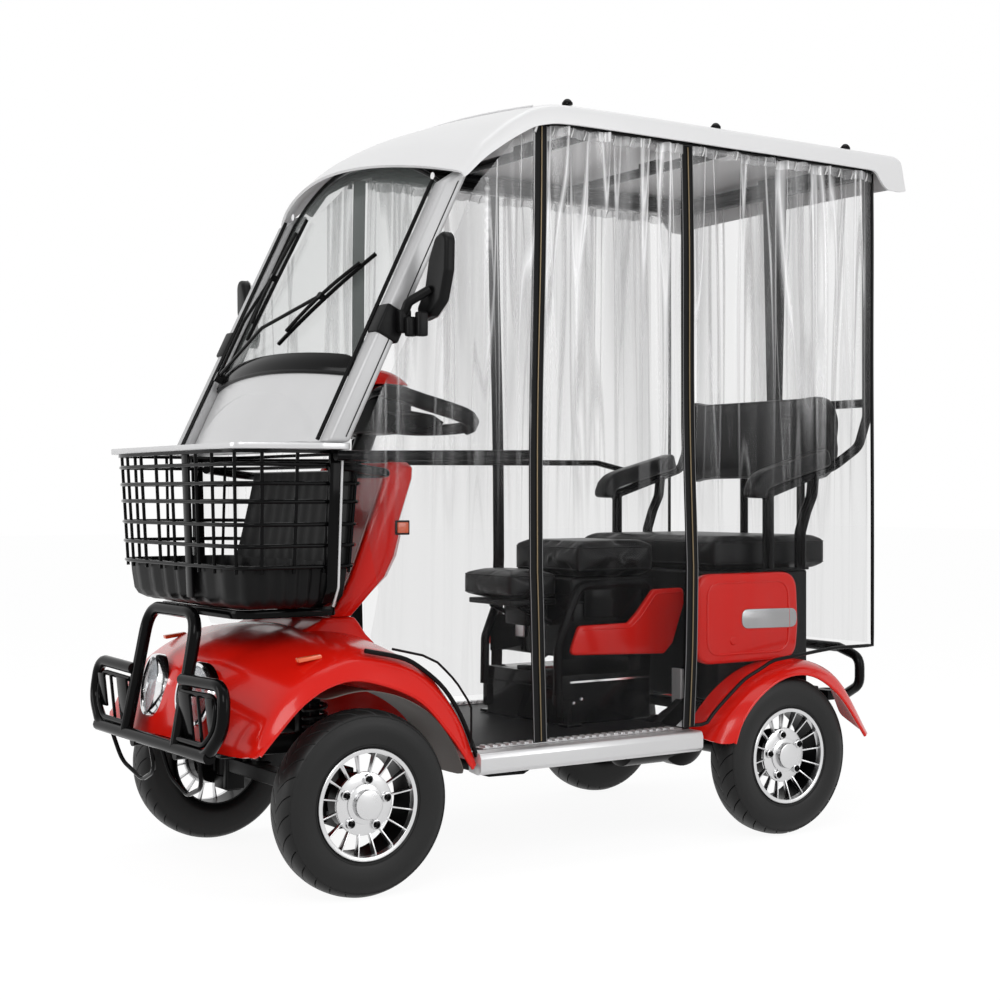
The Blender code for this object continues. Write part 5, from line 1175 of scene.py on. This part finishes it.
def make_underside():
    """The welded frame, the front beam with its knuckles, and the rear axle with its motor."""
    rail_z = 0.2354
    parts = []
    for _, side in SIDES:
        line = [(side * x, y, z) for x, y, z in ((0.115, -0.800, 0.285), (0.115, -0.480, 0.285), (0.170, -0.380, rail_z),
                                                 (0.170, 0.325, rail_z), (0.170, 0.415, 0.298), (0.170, 0.860, 0.298))]
        parts.append(strip(line, 0.030, 0.040, bend=0.03, bevel=0.003))
        parts.append(slab((side * 0.104, -0.617, 0.286), (side * 0.126, -0.583, 0.4315), 0.002))
        parts.append(slab((side * 0.104, -0.617, 0.4205), (side * 0.184, -0.583, 0.4315), 0.002))
    for y, half, z in ((-0.790, 0.135, 0.285), (-0.500, 0.135, 0.285), (-0.300, 0.345, rail_z), (-0.020, 0.345, rail_z),
                       (0.245, 0.345, rail_z), (0.430, 0.230, 0.298), (0.860, 0.230, 0.298)):
        parts.append(slab((-half, y - 0.0125, z - 0.0125), (half, y + 0.0125, z + 0.0125), 0.002))
    hoop = [(0.170, 0.862, 0.298), (0.170, 0.905, 0.298), (0.235, 0.905, 0.298), (0.300, 0.890, 0.330),
            (0.300, 0.890, 0.400), (0.220, 0.895, 0.420), (-0.220, 0.895, 0.420), (-0.300, 0.890, 0.400),
            (-0.300, 0.890, 0.330), (-0.235, 0.905, 0.298), (-0.170, 0.905, 0.298), (-0.170, 0.862, 0.298)]
    parts.append(tube(hoop, TUBE_R, 0.035))
    settled(joined(parts), "frame_rails", "black_satin", nodes=["chassis_frame"])

    parts = [slab((-0.245, -0.620, 0.174), (0.245, -0.580, 0.206), 0.003)]
    for side in (1, -1):
        parts.append(slab((side * 0.223, -0.622, 0.132), (side * 0.247, -0.578, 0.248), 0.003))
        for low, high in ((0.128, 0.1595), (0.2205, 0.252)):
            parts.append(slab((side * 0.231, -0.618, low), (side * 0.305, -0.582, high), 0.003))
        parts.append(tube([(side * 0.165, -0.600, 0.190), (side * 0.165, -0.600, 0.4195)], 0.011))
        parts.append(coil(side * 0.165, -0.600, 0.240, 0.380, 0.0240, 0.0045, 8))
        for z in (0.235, 0.385):
            parts.append(tube([(side * 0.165, -0.600, z - 0.003), (side * 0.165, -0.600, z + 0.003)], 0.029, resolution=5))
    settled(joined(parts), "front_beam", "black_satin", nodes=["front_axle"])

    for name, side in SIDES:
        parts = [tube([(side * 0.285, -0.600, 0.160), (side * 0.285, -0.600, 0.220)], 0.019, resolution=5),
                 slab((side * 0.295, -0.624, 0.166), (side * 0.317, -0.576, 0.214), 0.004),
                 tube([(side * 0.315, -0.600, 0.190), (side * 0.330, -0.600, 0.190)], 0.020, resolution=4),
                 tube([(side * 0.297, -0.600, 0.190), (side * 0.3725, -0.600, 0.190)], 0.0115, resolution=4),
                 strip([(side * 0.285, -0.600, 0.175), (side * 0.273, -0.490, 0.175)], 0.024, 0.013, bevel=0.003)]
        settled(joined(parts), f"knuckle_forging_{name}", "black_satin", f"knuckle_{name}", [f"knuckle_{name}"])

    axle_y = REAR_AXLE_Y
    parts = [tube([(-0.330, axle_y, 0.190), (0.330, axle_y, 0.190)], 0.026, resolution=5),
             tube([(-0.3725, axle_y, 0.190), (0.3725, axle_y, 0.190)], 0.0115, resolution=4),
             turned([(0.0, -0.060), (0.050, -0.058), (0.070, -0.040), (0.075, -0.030), (0.075, 0.010), (0.060, 0.022),
                     (0.030, 0.030), (0.0, 0.030)], (0, axle_y, 0.190), 1, "x", 40),
             turned([(0.0, -0.200), (0.050, -0.198), (0.061, -0.190), (0.061, -0.060), (0.056, -0.056), (0.056, 0.0),
                     (0.0, 0.0)], (-0.015, axle_y, 0.188), 1, "y", 40)]
    for side in (1, -1):
        parts.append(tube([(side * 0.235, axle_y, 0.190), (side * 0.235, axle_y, 0.3178)], 0.010))
        parts.append(coil(side * 0.235, axle_y, 0.228, 0.302, 0.0225, 0.0040, 5))
        for z in (0.226, 0.305):
            parts.append(tube([(side * 0.235, axle_y, z - 0.002), (side * 0.235, axle_y, z + 0.002)], 0.027, resolution=5))
    settled(joined(parts), "rear_drive", "black_satin", nodes=["rear_axle"])


def make_tray():
    """The silver rim over the basket and the flat-bar carrier under it."""
    outline = rounded([(-0.332, -0.866, 0), (0.332, -0.866, 0), (0.3880, -0.700, 0), (0.3880, -0.626, 0),
                       (-0.3880, -0.626, 0), (-0.3880, -0.700, 0)], 0.030, 8, True)
    rim = plate([(p.x, p.y) for p in outline], "z", 0.9050, 0.9178)
    gap = rounded([(-0.285, -0.832, 0), (0.285, -0.832, 0), (0.285, -0.735, 0), (-0.285, -0.735, 0)], 0.020, 6, True)
    window = plate([(p.x, p.y) for p in gap], "z", 0.890, 0.930)
    applied(rim, "BOOLEAN", operation="DIFFERENCE", object=window, solver="EXACT")
    bpy.data.objects.remove(window)
    bevelled(rim, 0.0022, 2, 50)
    settled(rim, "tray_rim", "silver", nodes=["base_tray"])
    z = 0.5675
    path = [(0.100, -0.552, z), (0.200, -0.575, z), (0.200, -0.790, z), (-0.200, -0.790, z), (-0.200, -0.575, z),
            (-0.100, -0.552, z)]
    parts = [strip(path, 0.020, 0.018, bend=0.03, bevel=0.002),
             slab((-0.145, -0.562, z - 0.008), (0.145, -0.5441, z + 0.008), 0.002),
             strip([(0, -0.555, z), (0, -0.790, z)], 0.018, 0.016, bevel=0.002)]
    settled(joined(parts), "carrier_bars", "black_gloss", nodes=["basket_carrier"])


# Cabin tubes
def make_cabin_tubes():
    """The roof frame, the armrest tubes that rise into the rear posts, and the side rails."""
    parts = []
    for _, side in SIDES:
        line = [(side * x, y, z) for x, y, z in ((POST_X, -0.344, 1.506), (POST_X, -0.302, 1.564), (POST_X, -0.225, 1.608),
                                                 (POST_X, -0.140, 1.634), (POST_X, 0.050, ROOF_RAIL_Z),
                                                 (POST_X, 0.872, ROOF_RAIL_Z))]
        parts.append(tube(line, TUBE_R * 0.96, 0.05))
        parts.append(slab((side * POST_X, -0.140, 1.6133), (side * 0.400, 0.846, 1.636), 0.003))
    parts.append(slab((-0.338, POST_Y, 1.6133), (0.338, 0.893, 1.636), 0.003))
    for y in (0.060, 0.450, 0.862):
        parts.append(tube([(-POST_X, y, ROOF_RAIL_Z), (POST_X, y, ROOF_RAIL_Z)], TUBE_R * 0.96))
        parts.append(slab((-0.040, y - 0.008, ROOF_RAIL_Z), (0.040, y + 0.008, 1.6636), 0.001))
    settled(joined(parts), "roof_tubes", "black_gloss", nodes=["roof_frame"])

    for name, side in SIDES:
        top = [(0.300, 0.560, 0.812), (0.300, 0.800, 0.887), (0.335, 0.850, 0.935), (POST_X, POST_Y, 1.010),
               (POST_X, POST_Y, 1.629)]
        parts = [tube([(side * x, y, z) for x, y, z in top], TUBE_R * 0.97, 0.05, resolution=4)]
        for x in (0.2905, 0.3095):
            front = [(x, 0.575, 0.632), (x, 0.575, 0.817)]
            rear = [(x, 0.682, 0.632), (x, 0.682, 0.720), (x, 0.700, 0.770), (x, 0.722, 0.812), (x, 0.728, 0.865)]
            parts += [tube([(side * a, y, z) for a, y, z in line], 0.0078, 0.04, resolution=3) for line in (front, rear)]
        parts.append(slab((side * 0.2865, 0.553, 0.6285), (side * 0.3135, 0.700, 0.6350), 0.002))
        settled(joined(parts), f"armrest_tube_{name}", "black_gloss", nodes=[f"armrest_frame_{name}"])
        start, end = Vector((side * 0.300, 0.560, 0.812)), Vector((side * 0.300, 0.800, 0.887))
        along = (end - start).normalized()
        above = Vector((0, -along.z, along.y)) * 0.0280
        above = [Vector((side * 0.300, y, z)) for y, z in ((0.5330, 0.806), (0.5340, 0.822), (0.5450, 0.842),
                                                          (0.5750, 0.857), (0.6600, 0.880), (0.7670, 0.908))]
        block = strip(through(above, 18), 0.050, 0.044)
        bevelled(block, 0.011, 4, 50)
        settled(block, f"armrest_cushion_{name}", "leather", nodes=[f"armrest_pad_{name}"])

    left = [(0.370, -0.660, 0.893), (0.370, -0.600, 0.893), (0.370, -0.180, 0.900)]
    settled(tube(left, 0.0108, 0.05, resolution=5), "hand_rail_left", "black_gloss", nodes=["side_rail_left"])
    right = [(-0.370, -0.660, 0.893), (-0.370, -0.600, 0.893), (-0.370, 0.560, 0.902), (-0.362, 0.660, 0.8800),
             (-0.345, 0.700, 0.8556), (-0.313, 0.700, 0.8556)]
    settled(tube(right, 0.0078, 0.05, resolution=5), "hand_rail_right", "black_gloss", nodes=["side_rail_right"])


# Seats and locker
def cushion(name, low, high, swell, body="chassis", node=None, corner=0.0):
    """A stuffed leather pad: a remeshed block that swells as cloth, is capped, and gets its seams."""
    inset = [swell * 0.55] * 3
    start = [a + i for a, i in zip(low, inset)]
    end = [b - i for b, i in zip(high, inset)]
    size = [b - a for a, b in zip(low, high)]
    thin = size.index(min(size))
    wide = [i for i in range(3) if i != thin]
    if corner:
        rim = rounded([(start[wide[0]], start[wide[1]]), (end[wide[0]], start[wide[1]]),
                       (end[wide[0]], end[wide[1]]), (start[wide[0]], end[wide[1]])], corner, 6)
        pad = plate(rim, "xyz"[thin], start[thin], end[thin], 0.008, 2)
    else:
        pad = slab(start, end, 0.010, 2)
    only(pad)
    pad.data.remesh_voxel_size = 0.0065
    bpy.ops.object.voxel_remesh()
    swollen(pad, swell)
    for i in range(3):
        least = min(vert.co[i] for vert in pad.data.vertices)
        most = max(vert.co[i] for vert in pad.data.vertices)
        for vert in pad.data.vertices:
            vert.co[i] = low[i] + (vert.co[i] - least) / (most - least) * (high[i] - low[i])
    smoothed(pad, 1)
    settled(pad, name, "leather", body, [node] if node else [], 60)
    tree = BVHTree.FromPolygons([vert.co for vert in pad.data.vertices],
                                [face.vertices[:] for face in pad.data.polygons])
    for label, level in (("low", 0.20), ("high", 0.80)):
        centre = Vector([(a + b) / 2 for a, b in zip(low, high)])
        centre[thin] = low[thin] + level * size[thin]
        line = []
        for k in range(96):
            turn = 2 * math.pi * k / 96
            ray = Vector((0, 0, 0))
            ray[wide[0]], ray[wide[1]] = math.cos(turn) * size[wide[0]], math.sin(turn) * size[wide[1]]
            hit = tree.ray_cast(centre + ray, -ray.normalized())[0]
            if hit is not None:
                line.append(hit)
        settled(tube(line, 0.0020, closed=True, resolution=2), f"{name}_seam_{label}", "leather", body)
    return pad


def swollen(pad, cap):
    """Blow a pad up as cloth over twenty frames, keep each point within the cap, and leave no cloth on it."""
    before = [vert.co.copy() for vert in pad.data.vertices]
    only(pad)
    cloth = pad.modifiers.new("Swell", "CLOTH")
    cloth.settings.quality = 4
    cloth.settings.mass = 0.3
    cloth.settings.use_pressure = True
    cloth.settings.uniform_pressure_force = 4.0
    cloth.settings.tension_stiffness = 12
    cloth.settings.compression_stiffness = 12
    cloth.settings.bending_stiffness = 0.6
    cloth.settings.effector_weights.gravity = 0
    cloth.collision_settings.use_self_collision = False
    cloth.point_cache.frame_start = 1
    cloth.point_cache.frame_end = 20
    for frame_number in range(1, 21):
        bpy.context.scene.frame_set(frame_number)
    bpy.ops.object.modifier_apply(modifier=cloth.name)
    bpy.context.scene.frame_set(1)
    for vert, home in zip(pad.data.vertices, before):
        step = vert.co - home
        if step.length > cap:
            vert.co = home + step.normalized() * cap


def make_seats():
    """The driver's seat on its case and hoops, the small front seat, the rear bench and the backrest."""
    half, front_y, rear_y, case_top = 0.148, 0.060, 0.330, 0.390
    parts = [slab((-half, front_y, 0.2705), (half, rear_y, case_top), 0.005),
             plate([(-half, 0.2705), (-0.032, 0.2705), (0.022, 0.354), (half, 0.354), (half, case_top),
                    (-half, case_top)], "y", front_y - 0.0125, front_y + 0.002, 0.002, 2),
             slab((-half, front_y - 0.0155, 0.3560), (half, front_y, 0.3590), 0.001, 1),
             slab((-half, 0.262, case_top - 0.002), (half, rear_y, 0.428), 0.002),
             slab((-half, 0.095, 0.4255), (half, rear_y, 0.560), 0.006),
             slab((-half, 0.0885, 0.5565), (half, 0.345, 0.6165), 0.006)]
    settled(joined(parts), "seat_case", "black_gloss", nodes=["seat_base"])
    tubes = []
    hoop_x = half + 0.007
    for _, side in SIDES:
        hoop = [(side * hoop_x, y, z) for y, z in ((0.044, 0.345), (0.046, 0.460), (0.078, 0.536), (0.108, 0.600),
                                                   (0.325, 0.600), (0.332, 0.540))]
        tubes.append(tube(hoop, 0.0110, 0.045, resolution=4))
        tubes.append(slab((side * (half - 0.012), 0.040, 0.290), (side * (half + 0.010), 0.062, 0.345), 0.004))
    settled(joined(tubes), "seat_hoops", "black_gloss")
    hoods = [slab((x0, 0.0880, 0.4640), (x1, 0.0950, 0.4940), 0.003) for x0, x1 in ((-0.085, -0.048), (-0.010, 0.030))]
    settled(joined(hoods), "seat_hood_ribs", "silver")
    settled(slab((-0.052, 0.070, case_top - 0.001), (-0.010, 0.100, case_top + 0.007), 0.003), "seat_case_catch",
            "black_mould")
    outline = rounded([(0.063, 0.438, 0), (0.348, 0.428, 0), (0.375, 0.453, 0), (0.410, 0.547, 0), (0.410, 0.587, 0),
                       (0.314, 0.585, 0), (0.266, 0.532, 0), (0.237, 0.507, 0), (0.091, 0.506, 0)], 0.014, 5, True)
    for name, side in SIDES:
        ends = sorted((side * 0.1662, side * 0.1786))
        cover = plate([(p.x, p.y) for p in outline], "x", ends[0], ends[1], 0.004, 3)
        settled(cover, f"seat_cover_{name}", "red_gloss", nodes=[f"side_panel_{name}"])
        crease = [Vector((side * 0.1785, y, z)) for y, z in ((0.100, 0.496), (0.244, 0.496), (0.276, 0.522),
                                                             (0.322, 0.574), (0.400, 0.576))]
        settled(tube(crease, 0.0018, 0.02, resolution=2), f"seat_cover_crease_{name}", "red_gloss")
        inner = slab((side * 0.1460, 0.0570, 0.4255), (side * 0.1500, 0.3000, 0.5150), 0.001, 1)
        settled(inner, f"seat_case_wing_{name}", "black_gloss")
        trim = [Vector((side * (half + 0.0010), y, z)) for y, z in ((0.085, 0.371), (0.328, 0.371))]
        settled(strip(trim, 0.0045, 0.003, up=(side, 0, 0)), f"seat_case_trim_{name}", "bright")
        side_panel = slab((side * (half - 0.001), 0.125, 0.520), (side * (half + 0.0045), 0.300, 0.590), 0.003)
        settled(side_panel, f"seat_case_panel_{name}", "black_gloss")
        upright = slab((side * 0.140, 0.4020, 0.2450), (side * 0.176, 0.4120, 0.3870), 0.002)
        settled(upright, f"box_upright_{name}", "silver")
        foot = [slab((side * 0.149, 0.050, 0.2705), (side * 0.185, 0.094, 0.2780), 0.002),
                slab((side * 0.149, 0.060, 0.2705), (side * 0.1560, 0.086, 0.330), 0.002)]
        settled(joined(foot), f"seat_foot_{name}", "black_gloss")
        for k, (y, z) in enumerate(((0.072, 0.318), (0.095, 0.322), (0.118, 0.330))):
            stud = turned([(0.0, 0.0035), (0.0035, 0.0030), (0.0050, 0.0), (0.0, 0.0)], (side * half, y, z), side, "x", 12)
            settled(stud, f"case_stud_{name}_{k}", "bright")
    cushion("driver_cushion", (-0.140, 0.118, 0.6172), (0.140, 0.352, 0.704), 0.010, node="main_cushion")
    cushion("small_cushion", (-0.110, -0.058, 0.5662), (0.110, 0.085, 0.636), 0.009, node="front_seat")
    parts = [slab((-0.090, -0.045, 0.5525), (0.090, 0.0875, 0.5655), 0.003),
             slab((-0.045, 0.030, 0.500), (0.045, 0.0935, 0.5540), 0.006),
             tube([(0.060, 0.000, 0.548), (0.060, 0.0930, 0.505)], 0.006), tube([(-0.060, 0.000, 0.548),
                                                                              (-0.060, 0.0930, 0.505)], 0.006)]
    settled(joined(parts), "small_seat_bracket", "black_mould", nodes=["front_seat_stand"])
    cushion("bench_cushion", (-0.2685, 0.432, 0.6284), (0.2685, 0.800, 0.714), 0.011, "bench_lid", "rear_bench")
    cushion("back_cushion", (-0.272, 0.806, 0.850), (0.272, 0.856, 1.072), 0.010, node="backrest", corner=0.080)
    parts = [tube([(-0.339, 0.8678, 1.045), (0.339, 0.8678, 1.045)], 0.0112)]
    for _, side in SIDES:
        leg = [(side * x, y, z) for x, y, z in ((0.110, 0.8678, 1.045), (0.110, 0.8678, 0.560), (0.110, 0.7055, 0.560))]
        parts.append(tube(leg, 0.0112, 0.04))
    strut = [(-0.028, 1.040), (0.028, 1.040), (0.044, 1.6130), (-0.044, 1.6130)]
    parts.append(plate(strut, "y", 0.8755, 0.8805, 0.001, 1))
    settled(joined(parts), "back_tubes", "black_gloss", nodes=["backrest_frame"])


MUDGUARD_SECTIONS = (
    (0.3090, (0.312, 0.262), (0.346, 0.306), (0.400, 0.352), (0.470, 0.390), (0.550, 0.409), (0.630, 0.411),
     (0.705, 0.389), (0.765, 0.345), (0.810, 0.262)),
    (0.3600, (0.320, 0.240), (0.349, 0.292), (0.396, 0.338), (0.462, 0.379), (0.535, 0.402), (0.610, 0.409),
     (0.680, 0.395), (0.740, 0.357), (0.826, 0.226)),
    (0.3950, (0.340, 0.234), (0.366, 0.288), (0.412, 0.334), (0.474, 0.373), (0.545, 0.395), (0.612, 0.398),
     (0.676, 0.380), (0.735, 0.338), (0.815, 0.222)),
    (0.4130, (0.366, 0.236), (0.387, 0.284), (0.432, 0.333), (0.490, 0.369), (0.548, 0.385), (0.607, 0.382),
     (0.662, 0.358), (0.720, 0.311), (0.792, 0.221)),
)


def make_rear():
    """The locker with its red covers, reflectors and lock, the mudguards and the lamp bar."""
    settled(slab((-0.302, 0.4127, 0.3188), (0.302, 0.705, 0.6278), 0.006), "locker_shell", "black_mould",
            nodes=["rear_box"])
    outline = rounded([(0.322, 0.412, 0), (0.642, 0.412, 0), (0.650, 0.500, 0), (0.644, 0.626, 0), (0.322, 0.626, 0)],
                      0.050, 8, True)
    centre = Vector((0.485, 0.520, 0))
    halves = [0.309, 0.322, 0.338, 0.360, 0.382, 0.395, 0.405, 0.413]
    rows = {h: between_sections(MUDGUARD_SECTIONS, h, 31) for h in halves}
    for name, side in SIDES:
        ends = sorted((side * 0.3023, side * 0.3290))
        cover = plate([(p.x, p.y) for p in outline], "x", ends[0], ends[1], 0.009, 4)
        settled(cover, f"locker_cover_{name}", "red_gloss", nodes=[f"box_cover_{name}"])
        ring = [Vector((side * 0.3285, *(centre + (p - centre) * 0.80).xy)) for p in outline]
        settled(tube(ring, 0.0032, closed=True, resolution=2), f"locker_bead_{name}", "red_gloss")
        tail = plate([(p.x, p.y) for p in rounded([(0.462, 0.493, 0), (0.641, 0.490, 0), (0.641, 0.537, 0),
                                                  (0.462, 0.540, 0)], 0.021, 6, True)],
                     "x", *sorted((side * 0.3270, side * 0.3315)), 0.0015, 2)
        settled(tail, f"side_strip_{name}", "reflector")
        lock = turned([(0.0, 0.0040), (0.0090, 0.0040), (0.0110, 0.0020), (0.0115, 0.0), (0.0, 0.0)],
                      (side * 0.3280, 0.436, 0.466), side, "x", 24)
        settled(lock, f"locker_lock_{name}", "red_gloss")

        def place(u, v, side=side):
            point = rows[halves[round(u * 7)]][round(v * 30)].copy()
            if 1 < round(u * 7) < 5:
                point.z += 0.0015
            point.x *= side
            return point

        guard = skin(place, 7, 30, 0.0, 1)
        walled(guard, 0.004, 1.0 if side > 0 else -1.0)
        in_edit(guard, outward)
        settled(guard, f"mudguard_{name}", "red_gloss", nodes=[f"rear_mudguard_{name}"], angle=60)
        lip = [Vector((side * p.x, p.y, p.z)) for p in rows[0.413]]
        settled(tube(lip, 0.0040, resolution=2), f"mudguard_lip_{name}", "red_gloss")
    settled(slab((-0.230, 0.7053, 0.440), (0.230, 0.727, 0.490), 0.006), "tail_lens", "lamp_red", nodes=["tail_lamp_bar"])


# Curtains
FRONT_EDGE = ((0.285, -0.352), (0.372, -0.352), (0.425, -0.390), (0.472, -0.440), (0.495, -0.500), (0.508, -0.600),
              (0.620, -0.575), (0.885, -0.640), (1.480, -0.330), (1.560, -0.250), (1.612, -0.200))
REAR_FOOT = ((0.254, 0.285), (0.292, 0.285), (0.330, 0.320), (0.400, 0.375), (0.500, 0.420), (0.600, 0.430),
             (0.700, 0.440), (0.838, 0.440))


def along_table(table, value):
    """Linear value from a table of pairs."""
    for (a, b), (c, d) in zip(table, table[1:]):
        if value <= c:
            return b + (d - b) * max(0.0, value - a) / (c - a)
    return table[-1][1]


def fold(y, z, seed):
    """How far the gathered film stands out at one place: folds hang from the track and die out below."""
    depth = 0.0012 + 0.0080 * max(0.0, (z - 0.62) / 0.99) ** 1.6
    return depth * (math.sin(y * 61 + seed + 0.7 * math.sin(z * 5 + seed))
                    + 0.55 * math.sin(y * 108 + 2.1 * seed + z * 1.9))


# how far a zip's middle stands back from its foot, as (height, y) for the front and the rear zip
ZIP_LINES = (((0.281, -0.176), (0.450, -0.183), (0.650, -0.188), (1.000, -0.184), (1.613, -0.176)),
             ((0.281, 0.240), (0.450, 0.246), (0.650, 0.250), (1.000, 0.243), (1.613, 0.233)))
ZIP_HALF = 0.0170


def zip_y(index, z):
    return along_table(ZIP_LINES[index], z)


def make_curtains():
    """Three gathered clear sheets a side between black zips with their header bands, and the sheet at the back."""
    rear_y = 0.838
    for name, side in SIDES:
        def front(u, v, side=side):
            z = 0.285 + 1.327 * v
            start = along_table(FRONT_EDGE, z)
            y = start + (zip_y(0, z) - ZIP_HALF - start) * u
            return (side * (CURTAIN_X + fold(y, z, 1.0)), y, z)

        def middle(u, v, side=side):
            z = 0.283 + 1.329 * v
            low, high = zip_y(0, z) + ZIP_HALF, zip_y(1, z) - ZIP_HALF
            y = low + (high - low) * u
            return (side * (CURTAIN_X + fold(y, z, 2.3)), y, z)

        def back(u, v, side=side):
            start = zip_y(1, 0.283 + 1.329 * v) + ZIP_HALF
            y = start + (rear_y - start) * u
            low = along_table(REAR_FOOT, y)
            z = low + (CURTAIN_TOP_Z - low) * v
            return (side * (CURTAIN_X + fold(y, z, 3.9)), y, z)

        for index in (0, 1):
            tape = skin(lambda u, v, i=index: (side * (CURTAIN_X + 0.003 * math.sin(v * 9)),
                                               zip_y(i, 0.2810 + 1.3315 * v) + 2 * ZIP_HALF * (u - 0.5),
                                               0.2810 + 1.3315 * v), 4, 40, 0.0022)
            settled(tape, f"zip_tape_{name}_{index + 1}", "zip_tape")
            line = [(side * (CURTAIN_X + 0.0024 + 0.003 * math.sin(t / 40 * 9)), zip_y(index, 0.284 + 1.324 * t / 40) + 0.002,
                     0.284 + 1.324 * t / 40) for t in range(41)]
            settled(tube(line, 0.0014, resolution=1), f"zip_line_{name}_{index + 1}", "brass")
            for edge_share in (-1, 1):
                hem = [(side * (CURTAIN_X + 0.0016 + 0.003 * math.sin(t / 40 * 9)),
                        zip_y(index, 0.284 + 1.324 * t / 40) + edge_share * (ZIP_HALF - 0.0010), 0.284 + 1.324 * t / 40)
                       for t in range(41)]
                settled(tube(hem, 0.0009, resolution=1), f"zip_hem_{name}_{index + 1}_{'front' if edge_share < 0 else 'rear'}",
                        "hem")
        panels = (("front", front, 1.327, 60, 0.42), ("middle", middle, 1.329, 60, 0.384),
                  ("rear", back, 1.327, 76, 0.585))
        for part, place, tall, columns, wide in panels:
            sheet = skin(place, columns, 60)
            settled(sheet, f"film_{part}_{name}", "film", nodes=[f"curtain_{name}"] if part == "middle" else (), angle=80)
            if part == "front":
                edge = [Vector(place(0, k / 80)) for k in range(14)]
                settled(tube(edge, 0.0026, resolution=1), f"film_piping_{part}_{name}", "black_satin")
            if part == "rear":
                edge = [Vector(place(k / 30, 0)) for k in range(31)] + [Vector(place(1, k / 40)) for k in range(1, 41)]
                settled(tube(edge, 0.0044, resolution=2), f"film_piping_{part}_{name}", "black_satin")
            start, end = (0.22, 1.0) if part == "front" else (0.0, 1.0)
            header = skin(lambda u, v, place=place, a=start, b=end, side=side: tuple(
                c + d for c, d in zip(place(a + (b - a) * u, 1.0), (side * (0.0022 + 0.0016 * math.sin(u * 190)), 0,
                                                                     -0.021 * (1 - v) - 0.0015 * math.sin(u * 83)))), 90, 2)
            settled(header, f"film_header_{part}_{name}", "header", angle=80)
            hooks = []
            count = 9 if part != "rear" else 12
            for k in range(count):
                top = Vector(place(start + (end - start) * (k + 0.5) / count, 1.0))
                hooks.append(tube([top + Vector((side * 0.003, 0.004, -0.001)), top + Vector((side * 0.006, 0.0, -0.010)),
                                   top + Vector((side * 0.005, -0.004, -0.022))], 0.0016, resolution=1))
            settled(joined(hooks), f"film_hooks_{part}_{name}", "hook")

    def behind(u, v):
        x, z = -0.329 + 0.658 * u, 0.440 + 1.172 * v
        return (x, 0.887 + 0.8 * fold(x, z, 5.2), z)

    sheet = skin(behind, 60, 50)
    settled(sheet, "film_back", "film", nodes=["curtain_rear"], angle=80)


def main():
    """Make every piece."""
    set_camera()
    set_stage()
    make_wheels()
    make_roof()
    make_screen()
    make_front_body()
    make_headlights()
    make_bull_bar()
    make_basket()
    make_tray()
    make_leg_shield()
    make_handlebar()
    make_mirrors_and_wipers()
    make_floor()
    make_underside()
    make_cabin_tubes()
    make_seats()
    make_rear()
    make_curtains()


main()
